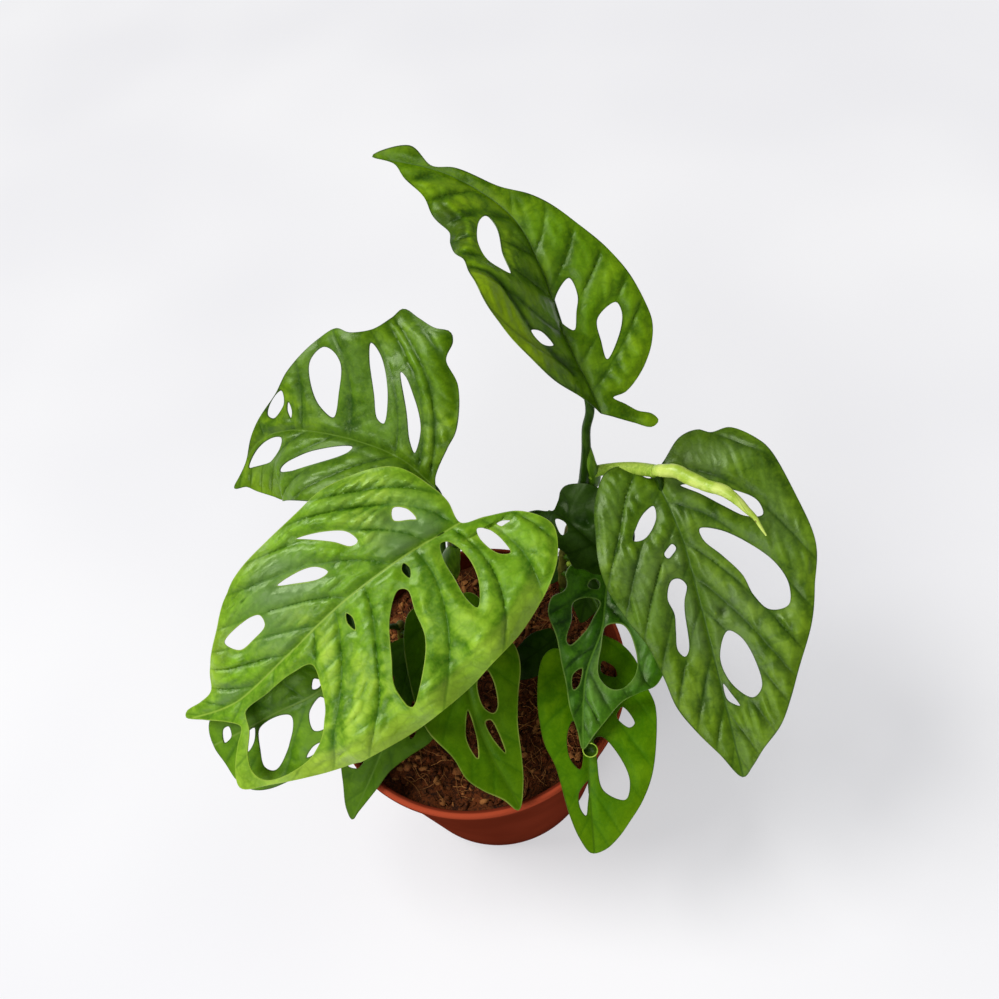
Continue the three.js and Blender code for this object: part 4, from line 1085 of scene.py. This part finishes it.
def leaf_material(name, deep, light, patch, rib, rim, pale, rough=0.34, gloss=0.35, coat=0.0, glow=0.2,
                  patches=0.5):
    """deep and light: hollows and bumps, with painted shade in the hollows and painted light on the bumps.
    patch: bright blotches, partly a painted highlight on the bumps. rib and rim: the midrib and the margin;
    the rim colour is painted light or painted shade along the edge. pale: the painted sheen and the
    underside.
    glow: the share of light that comes through."""
    m = Nodes(name)
    high, tone = m.attribute("high"), m.attribute("tone")
    share = m.math("FRACT", m.attribute("count"), 0.0)  # FRACT has no use for the 0
    nearest = m.math("MINIMUM", share, m.math("SUBTRACT", 1.0, share))
    vein = m.math("MULTIPLY", nearest, m.attribute("gap"))
    broad = m.noise(26, 2, 0.5)
    middle = m.noise(150, 3, 0.6, 0.4)
    fine = m.noise(900, 3, 0.6)
    # The relief's height paints the hollows darker and the crests lighter, as painted shade and painted
    # light, mixed with noise.
    body = m.weighted(middle, 0.55, high, 0.6)
    colour = m.mix(m.span(body, 0.32, 0.82), deep, light)
    # Bright blotches where the noise and the painted crests are high: partly the blade's own patches, partly
    # a painted highlight.
    bright = m.math("MULTIPLY", m.span(broad, 0.4, 0.65), m.span(body, 0.5, 0.85))
    colour = m.mix(m.math("MULTIPLY", bright, patches), colour, patch)
    colour = m.mix(m.span(fine, 0.4, 0.75, 0, 0.14), colour, patch)
    # The painted grey sheen.
    colour = m.mix(m.attribute("bloom"), colour, pale)
    # Above 0 towards the patch colour, below 0 towards LEAF_SHADOW: painted light and painted shade on the
    # bent margins, folds and dents, besides a paler margin and tip and a darker band along the rib.
    colour = m.mix(m.span(tone, 0.0, 1.0, 0, 0.75), colour, patch)
    colour = m.mix(m.span(tone, -1.0, 0.0, 0.85, 0), colour, LEAF_SHADOW)
    # Painted shade in the grooves of the side veins.
    colour = m.mix(m.span(vein, 0.1, 0.75, 0.36, 0), colour, deep)
    colour = m.mix(m.span(m.net(230), 0.0, 0.12, 0.16, 0), colour, deep)
    colour = m.mix(m.span(m.attribute("rib"), 0.1, 0.6, 0.85, 0), colour, rib)
    colour = m.mix(m.span(m.attribute("under"), 0.35, 0.9, 0, 0.55), colour, pale)
    # The margin's colour in patches along the edge: painted light where the rim colour is pale, painted shade
    # where it is dark.
    painted_edge_light_patches = m.span(m.noise(70, 2), 0.4, 0.6, 0.35, 1.0)
    margin = m.span(m.attribute("edge"), 0.05, 0.5, 0.85, 0)
    colour = m.mix(m.math("MULTIPLY", margin, painted_edge_light_patches), colour, rim)
    m.set(Base_Color=colour, Roughness=m.span(middle, 0.3, 0.7, rough - 0.07, rough + 0.09))
    m.set(Specular_IOR_Level=gloss, Specular_Tint=LEAF_SHEEN, Coat_Weight=coat, Coat_Roughness=0.25)
    normal = m.bump(m.math("ADD", m.math("MULTIPLY", fine, 0.3), middle), 0.35, 0.0006)
    m.translucent(glow, m.mix(0.5, colour, patch), normal)
    return m.material


def stalk_material(name, dark, light, rough=0.4):
    m = Nodes(name)
    stretch = m.new("Mapping", Scale=(1, 1, 0.12), Vector=m.place)
    streak = m.noise(900, 3, 0.6, place=stretch.outputs[0])
    body = m.weighted(streak, 0.5, m.noise(60, 2), 0.5)
    m.set(Base_Color=m.mix(m.span(body, 0.35, 0.65), dark, light), Roughness=rough, Specular_IOR_Level=0.12)
    m.bump(streak, 0.25, 0.0003)
    return m.material


LOOKS = dict(
    bright=leaf_material(
        "leaf_bright", deep=(48, 98, 0), light=(132, 186, 20), patch=(198, 228, 76),
        rib=(152, 186, 66), rim=(160, 190, 64), pale=(108, 144, 76), gloss=0.45, glow=0.22, patches=0.7,
    ),
    green=leaf_material(
        "leaf_green", deep=(34, 72, 0), light=(112, 160, 4), patch=(172, 206, 24),
        rib=(98, 134, 56), rim=(40, 62, 8), pale=(100, 134, 64), glow=0.34, patches=0.8,
    ),
    back=leaf_material(
        "leaf_back", deep=(36, 74, 0), light=(100, 144, 6), patch=(152, 188, 20),
        rib=(104, 138, 44), rim=(46, 70, 12), pale=(104, 136, 64), patches=0.8,
    ),
    right=leaf_material(
        "leaf_deep", deep=(28, 60, 2), light=(90, 128, 12), patch=(140, 172, 34),
        rib=(50, 82, 16), rim=(40, 68, 12), pale=(112, 138, 78), patches=0.6,
    ),
    glossy=leaf_material(
        "leaf_glossy", deep=(4, 36, 0), light=(50, 104, 2), patch=(104, 156, 28),
        rib=(84, 126, 36), rim=(110, 140, 60), pale=(128, 172, 72),
        rough=0.3, gloss=0.32, coat=0.06, glow=0.12, patches=0.6,
    ),
    low=leaf_material(
        "leaf_low", deep=(52, 100, 0), light=(86, 134, 0), patch=(122, 158, 4),
        rib=(66, 104, 6), rim=(64, 92, 12), pale=(96, 130, 60),
        rough=0.45, gloss=0.12, glow=0.18, patches=0.6,
    ),
    low_middle=leaf_material(
        "leaf_low_middle", deep=(50, 92, 0), light=(84, 124, 2), patch=(106, 144, 4),
        rib=(70, 106, 10), rim=(142, 160, 66), pale=(96, 130, 60), rough=0.45, gloss=0.12, glow=0.18,
    ),
    low_left=leaf_material(
        "leaf_low_left", deep=(50, 88, 4), light=(84, 124, 14), patch=(104, 146, 20),
        rib=(84, 120, 30), rim=(66, 92, 18), pale=(116, 146, 80), rough=0.45, gloss=0.15, glow=0.18,
    ),
    shaded=leaf_material(
        "leaf_shaded", deep=(12, 34, 0), light=(38, 64, 4), patch=(46, 76, 8),
        rib=(22, 42, 4), rim=(40, 62, 16), pale=(80, 106, 60), rough=0.36, gloss=0.1, glow=0.08, patches=0.3,
    ),
    tucked=leaf_material(
        "leaf_tucked", deep=(54, 98, 4), light=(102, 148, 10), patch=(130, 174, 22),
        rib=(116, 150, 50), rim=(56, 84, 14), pale=(104, 138, 74), rough=0.38, gloss=0.3, glow=0.18,
    ),
    # Its dark green is painted shade inside the cups.
    pocket=leaf_material(
        "leaf_pocket", deep=(14, 34, 4), light=(34, 62, 12), patch=(44, 74, 16),
        rib=(24, 46, 8), rim=(60, 90, 40), pale=(80, 106, 60), rough=0.36, gloss=0.2, glow=0.0, patches=0.3,
    ),
)
STALK = stalk_material("stalk_green", (28, 54, 2), (56, 86, 10))
STALK_PALE = stalk_material("stalk_pale", (116, 154, 34), (172, 198, 78))
SHEATH = stalk_material("sheath_green", (62, 98, 12), (104, 140, 30))
STEM = stalk_material("stem_olive", (62, 62, 18), (104, 104, 40), 0.45)

# ---- leaves ----
for number, (name, leaf) in enumerate(LEAVES.items()):
    blade = Blade(leaf, 11.3 + 7.1 * number)
    parts = [(*blade.mesh(), 0), (*stalk_tube(leaf, blade), {}, 1)]
    if "sheath" in leaf:
        parts.append((*rod(**leaf["sheath"]), {}, 2))
    parts += [(*pocket(blade, hole), {}, 3) for hole in leaf["pockets"]]
    if name == "leaf_small":
        parts += [(*curled_tip(), {}, 1), (*curled_tip_rim(), {}, 2)]
    look = leaf["look"]
    pale = STALK_PALE if name in ("leaf_right", "leaf_small") else SHEATH
    piece = publish(f"{name}_blade", parts, [LOOKS[look], STALK, pale, LOOKS["pocket"]])
    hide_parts(name)

# ---- stems ----
for name, stem in STEMS.items():
    points, _ = stations(stem["path"], STEM_STEP)
    z = points[:, 2]
    swell = sum(bell(z - joint, JOINT_REACH) for joint in stem["joints"])
    scar = sum(bell(z - joint - JOINT_RING_RISE, JOINT_RING_REACH) for joint in stem["joints"])
    radius = stem["radius"] + JOINT_SWELL * np.minimum(1, swell) + JOINT_RING * scar
    piece = publish(f"{name}_skin", [(*tube(points, radius, STEM_SIDES), {}, 0)], [STEM])
    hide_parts(name)


# ---- the young rolled leaf ----
def rolled_leaf():
    """A spiral roll. Its free margin shows as a seam that winds around it, with a groove at each wrap."""
    points, s = stations(NEW_LEAF["path"], ROLL_STEP)
    radii = spread(NEW_LEAF["radii"], s)
    across = frames(unit(np.gradient(points, axis=0)))
    verts, seam = [], []
    for point, radius, far, pair in zip(points, radii, s, across):
        margin = 1.2 + 2.6 * far / s[-1] * np.pi
        place = (turns(ROLL_SIDES) - margin) % (2 * np.pi) / (2 * np.pi)
        step = 1 - ROLL_OVERLAP * (1 - place) ** 1.5 + 0.02 * np.sin(place * 9 + far * 0.7)
        sway = np.sin(far * 0.9 + place * 5) * 0.012
        fold = (far / WRAP_PITCH + 0.9 * place + 0.15 * np.sin(5 * place + far * 0.35)) % 1
        to_fold = np.minimum(fold, 1 - fold) * WRAP_PITCH
        reach = radius * (step + sway - WRAP_DEPTH * bell(to_fold, 0.45))
        verts.append(point + reach[:, None] * hoop(ROLL_SIDES, *pair))
        seam.append(np.minimum(np.minimum(place, 1 - place) * 2 * np.pi * radius, to_fold + 0.08))
    fields = dict(seam=np.concatenate(seam), far=np.repeat(s / s[-1], ROLL_SIDES))
    return np.vstack(verts), bar_faces(len(points), ROLL_SIDES), fields


def rolled_material():
    m = Nodes("leaf_rolled")
    seam, far = m.attribute("seam"), m.attribute("far")
    broad, fine = m.noise(160, 3), m.noise(900, 3)
    colour = m.mix(m.span(broad, 0.35, 0.65), (160, 190, 54), (204, 222, 108))
    colour = m.mix(m.span(far, 0.0, 0.12, 0.5, 0), colour, (124, 156, 40))
    colour = m.mix(m.span(fine, 0.6, 0.8, 0, 0.5), colour, (228, 240, 160))
    # Painted shade along the seam and in the groove at each wrap.
    colour = m.mix(m.span(seam, 0.0, 0.3, 0.55, 0), colour, (96, 120, 24))
    speck = m.math("MULTIPLY", m.span(m.noise(420, 2), 0.66, 0.72), m.span(m.noise(90, 2), 0.5, 0.6))
    colour = m.mix(m.math("MULTIPLY", speck, 0.8), colour, (92, 70, 24))
    scar = m.math("MULTIPLY", m.span(far, 0.03, 0.045), m.span(far, 0.07, 0.085, 1.0, 0.0))
    ragged = m.span(m.noise(500, 3), 0.4, 0.6, 0.2, 0.9)
    colour = m.mix(m.math("MULTIPLY", scar, ragged), colour, (84, 60, 22))
    m.set(Base_Color=colour, Roughness=0.36)
    m.bump(m.math("ADD", fine, broad), 0.3, 0.0003)
    return m.material


piece = publish("new_leaf_roll", [(*rolled_leaf(), 0)], [rolled_material()], 60)
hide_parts("new_leaf")


# ---- pot ----
def lathe(profile, sides):
    x, y = circle(sides).T
    rings = [np.stack([r * x, r * y, np.full(sides, z)], 1) for r, z in profile]
    return np.vstack(rings), bands(len(profile), sides)


def wall(z):
    """Radius of the pot's outside."""
    return POT_BASE + (POT_RIM - LIP_REACH - POT_BASE) * z / POT_HEIGHT


def pot_profile():
    """Radius and height of points up the outside, over the lip and down the inside."""
    lip = POT_HEIGHT - LIP_HEIGHT
    inner_top = wall(POT_HEIGHT) - POT_WALL
    return [
        (POT_BASE - 3, 0), (POT_BASE - 1.2, 0.15), (POT_BASE, 0.8), (wall(2), 2),
        *[(wall(z), z) for z in np.arange(6, lip - 2, 5)],
        (wall(lip - 1), lip - 1), (POT_RIM - 0.9, lip - 0.4), (POT_RIM - 0.25, lip), (POT_RIM, lip + 0.6),
        (POT_RIM, POT_HEIGHT - 0.9), (POT_RIM - 0.25, POT_HEIGHT - 0.3), (POT_RIM - 0.8, POT_HEIGHT),
        (inner_top + 0.7, POT_HEIGHT), (inner_top + 0.2, POT_HEIGHT - 0.3), (inner_top, POT_HEIGHT - 1),
        *[(wall(z) - POT_WALL, z) for z in np.arange(POT_HEIGHT - 5, 4, -6)],
        (wall(3) - POT_WALL - 0.5, POT_WALL + 0.6), (wall(2) - POT_WALL - 2, POT_WALL),
    ]


def pot_shell():
    """The lathed wall, closed by a base that the drain holes go through."""
    profile = pot_profile()
    verts, faces = lathe(profile, POT_SIDES)
    middles = DRAIN_CIRCLE_RADIUS * circle(DRAIN_COUNT)
    holes = [middle + DRAIN_RADIUS * circle(DRAIN_SIDES) for middle in middles]
    edges = np.vstack(holes)
    low = len(verts)
    high = low + len(edges)
    for ring, first, order in ((0, low, -1), (low - POT_SIDES, high, 1)):
        number = np.concatenate([ring + np.arange(POT_SIDES), first + np.arange(len(edges))])
        flat, tris = triangulate([verts[ring:ring + POT_SIDES, :2], *holes])
        for tri in tris:
            away = np.linalg.norm(middles - flat[tri].mean(0), axis=1).min()
            if away >= DRAIN_RADIUS * DRAIN_MARGIN:
                faces.append(tuple(number[tri[::order]]))
    for i in range(0, len(edges), DRAIN_SIDES):
        for k in range(DRAIN_SIDES):
            a, b = i + k, i + (k + 1) % DRAIN_SIDES
            faces.append((low + b, low + a, high + a, high + b))
    sheets = [np.column_stack([edges, np.full(len(edges), z)]) for z in (0, POT_WALL)]
    # lip: the top of the lip, which the material paints lighter as a painted highlight.
    bright = [1.0 if r > POT_RIM - 0.9 and z > POT_HEIGHT - 0.95 else 0.0 for r, z in profile]
    return np.vstack([verts, *sheets]), faces, dict(lip=np.repeat(bright, POT_SIDES))


def pot_material():
    m = Nodes("pot_terracotta")
    height = m.new("SeparateXYZ", Vector=m.place)
    broad, fine, scuff = m.noise(18, 3), m.noise(1400, 2), m.noise(240, 4, 0.65, 1.5)
    colour = m.mix(m.span(broad, 0.35, 0.65), (94, 35, 20), (110, 43, 26))
    # A painted highlight on the top of the lip.
    colour = m.mix(m.span(m.attribute("lip"), 0.2, 0.8, 0, 0.9), colour, (166, 70, 44))
    colour = m.mix(m.span(scuff, 0.66, 0.8, 0, 0.25), colour, (160, 84, 62))
    # Painted shade on the lowest 20 mm of the pot, near the floor.
    colour = m.mix(m.span(height.outputs["Z"], 0.0, 0.02, 0.5, 0), colour, (70, 26, 16))
    m.set(Base_Color=colour, Roughness=m.span(broad, 0.3, 0.7, 0.5, 0.62), Specular_IOR_Level=0.0)
    m.bump(m.math("ADD", m.math("MULTIPLY", fine, 0.4), scuff), 0.12, 0.0003)
    return m.material


piece = publish("pot_shell", [(*pot_shell(), 0)], [pot_material()], 45)
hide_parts("pot")

# ---- soil: a lumpy bed, crumbs and chips of bark, and loose fibres ----
SOIL_RADIUS = wall(SOIL_TOP) - POT_WALL
rng = np.random.default_rng(20)


def soil_height(x, y):
    lump = np.sin(0.21 * x + 1.3) * np.cos(0.17 * y) + 0.6 * np.sin(0.33 * x - 0.29 * y)
    fine = 0.5 * waves(x / 2.2, y / 2.2, 4.0)
    return SOIL_TOP - 0.6 + 0.9 * lump + fine + 0.35 * waves(x / 0.9, y / 0.9, 9.0)


def soil_bed():
    """A closed lump that fills the pot: its surface, its side and its flat underside."""
    verts = [(0, 0, soil_height(0, 0))]
    for share in np.arange(1, SOIL_RINGS + 1):
        x, y = (SOIL_RADIUS - SOIL_ROOM) * share / SOIL_RINGS * circle(SOIL_SIDES).T
        verts += list(zip(x, y, soil_height(x, y)))
    for z in (SOIL_SHOULDER, SOIL_BOTTOM):
        x, y = (wall(z) - POT_WALL - SOIL_SIDE_ROOM) * circle(SOIL_SIDES).T
        verts += list(zip(x, y, np.full(SOIL_SIDES, float(z))))
    faces = [(0, 1 + k, 1 + (k + 1) % SOIL_SIDES) for k in range(SOIL_SIDES)]
    faces += [(a, d, c, b) for a, b, c, d in bands(SOIL_RINGS + 2, SOIL_SIDES, first=1)]
    faces.append(tuple(range(len(verts) - SOIL_SIDES, len(verts))))
    return np.array(verts), faces


def icosahedron():
    """Its twelve corners and its twenty faces."""
    golden = (1 + 5 ** 0.5) / 2
    corners = []
    for a in (-1, 1):
        for b in (-golden, golden):
            corners += [(0, a, b), (a, b, 0), (b, 0, a)]
    corners = unit(np.array(corners, float))
    faces = []
    for i, j, k in combinations(range(12), 3):
        p, q, r = corners[[i, j, k]]
        if max(np.linalg.norm(p - q), np.linalg.norm(q - r), np.linalg.norm(p - r)) < 1.1:
            faces.append((i, j, k) if np.dot(np.cross(q - p, r - p), p) > 0 else (i, k, j))
    return corners, faces


CORNERS, CORNER_FACES = icosahedron()


def random_place(room):
    """A place on the soil that is at least room mm from the pot's wall."""
    r = (SOIL_RADIUS - room) * math.sqrt(rng.random())
    a = rng.random() * 2 * math.pi
    return r * math.cos(a), r * math.sin(a)


def crumbs(count, small, large, tint, material):
    """Rough lumps and chips that lie on the soil, mostly small ones, as parts for publish()."""
    parts = []
    for _ in range(count):
        x, y = random_place(CRUMB_ROOM)
        size = small + (large - small) * rng.random() ** 2.5
        shape = np.array([1, 0.35 + 0.5 * rng.random(), 0.25 + 0.35 * rng.random()]) * size
        body = CORNERS * (0.75 + 0.5 * rng.random((12, 1))) * shape
        spin, tip = rng.random() * 2 * math.pi, (rng.random() - 0.5) * 1.3
        turn = np.array(Matrix.Rotation(spin, 3, "Z") @ Matrix.Rotation(tip, 3, "X"))
        verts = body @ turn.T + np.array([x, y, soil_height(x, y) + size * 0.15])
        shade = tint[0] + (tint[1] - tint[0]) * rng.random()
        parts.append((verts, CORNER_FACES, dict(tint=np.full(12, shade)), material))
    return parts


def fibres(count, material):
    """Loose bent fibres on the soil, as parts for publish()."""
    parts = []
    for _ in range(count):
        x, y = random_place(FIBRE_ROOM)
        heading, bend = rng.random() * 2 * math.pi, (rng.random() - 0.5) * 0.5
        stride = (5 + 14 * rng.random() ** 1.6) / FIBRE_POINTS
        points = []
        for i in range(FIBRE_POINTS):
            lift = 0.5 + 1.6 * math.sin(math.pi * i / (FIBRE_POINTS - 1)) * rng.random() * 0.6
            if math.hypot(x, y) > SOIL_RADIUS - FIBRE_END_ROOM:
                break
            points.append((x, y, soil_height(x, y) + lift))
            x += stride * math.cos(heading)
            y += stride * math.sin(heading)
            heading += bend + (rng.random() - 0.5) * 0.5
        if len(points) < 4:
            continue
        thick = 0.07 + 0.13 * rng.random() ** 2
        verts, faces = rod(points, [thick, thick * 1.1, thick * 0.6], sides=4, step=1.2)
        shade = 0.45 + 0.55 * rng.random()
        parts.append((verts, faces, dict(tint=np.full(len(verts), shade)), material))
    return parts


def soil_material(name, dark, light):
    m = Nodes(name)
    body = m.weighted(m.noise(420, 4, 0.7, 0.6), 0.6, m.noise(1800, 3, 0.7), 0.4)
    colour = m.mix(m.span(body, 0.38, 0.62), dark, light)
    colour = m.mix(m.span(m.attribute("tint"), 0.0, 1.0, 0, 0.85), colour, (182, 122, 66))
    m.set(Base_Color=colour, Roughness=0.9, Specular_IOR_Level=0.2)
    m.bump(body, 0.9, 0.0009)
    return m.material


mix_parts = [(*soil_bed(), {}, 0)]
mix_parts += crumbs(count=2600, small=0.5, large=2.1, tint=(0.0, 0.22), material=0)
mix_parts += crumbs(count=420, small=0.8, large=2.6, tint=(0.3, 0.8), material=1)
mix_parts += fibres(count=420, material=2)
piece = publish("soil_mix", mix_parts, [
    soil_material("coir", (40, 18, 6), (118, 60, 24)),
    soil_material("bark", (80, 40, 18), (150, 86, 44)),
    soil_material("fibre", (104, 64, 32), (166, 114, 66)),
], 70)
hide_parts("soil")


# ---- floor and light ----
def floor_material():
    m = Nodes("floor_white")
    colour = m.mix(m.span(m.noise(3, 2), 0.3, 0.7), (168, 168, 171), (174, 174, 176))
    m.set(Base_Color=colour, Emission_Color=colour, Roughness=0.7, Emission_Strength=1.11)
    m.bump(m.noise(300, 2), 0.03, 0.0002)
    return m.material


bpy.ops.mesh.primitive_grid_add(x_subdivisions=8, y_subdivisions=8, size=8, location=(0, 0, 0))
floor = bpy.context.active_object
floor.name = "floor"
floor.data.materials.append(floor_material())

AIM = Vector((0, 0, 0.1))  # metres


def place_lamp(light, place):
    lamp = bpy.data.objects.new(light.name, light)
    lamp.location = place
    lamp.rotation_euler = (AIM - Vector(place)).to_track_quat("-Z", "Y").to_euler()
    bpy.context.scene.collection.objects.link(lamp)


sun = bpy.data.lights.new("window", "SUN")
sun.energy = 2.7
sun.angle = math.radians(30)
sun.color = (1.0, 0.99, 0.96)
place_lamp(sun, (-0.62, 0.25, 1.0))

softbox = bpy.data.lights.new("softbox", "AREA")
softbox.shape = "DISK"
softbox.size = 0.9
softbox.energy = 10
place_lamp(softbox, (-0.85, -1.0, 1.1))

world = bpy.data.worlds.new("studio")
bpy.context.scene.world = world
world.use_nodes = True
background = world.node_tree.nodes["Background"]
background.inputs["Color"].default_value = (0.98, 0.985, 1.0, 1)
background.inputs["Strength"].default_value = 0.22
bpy.context.scene.view_settings.view_transform = "Standard"
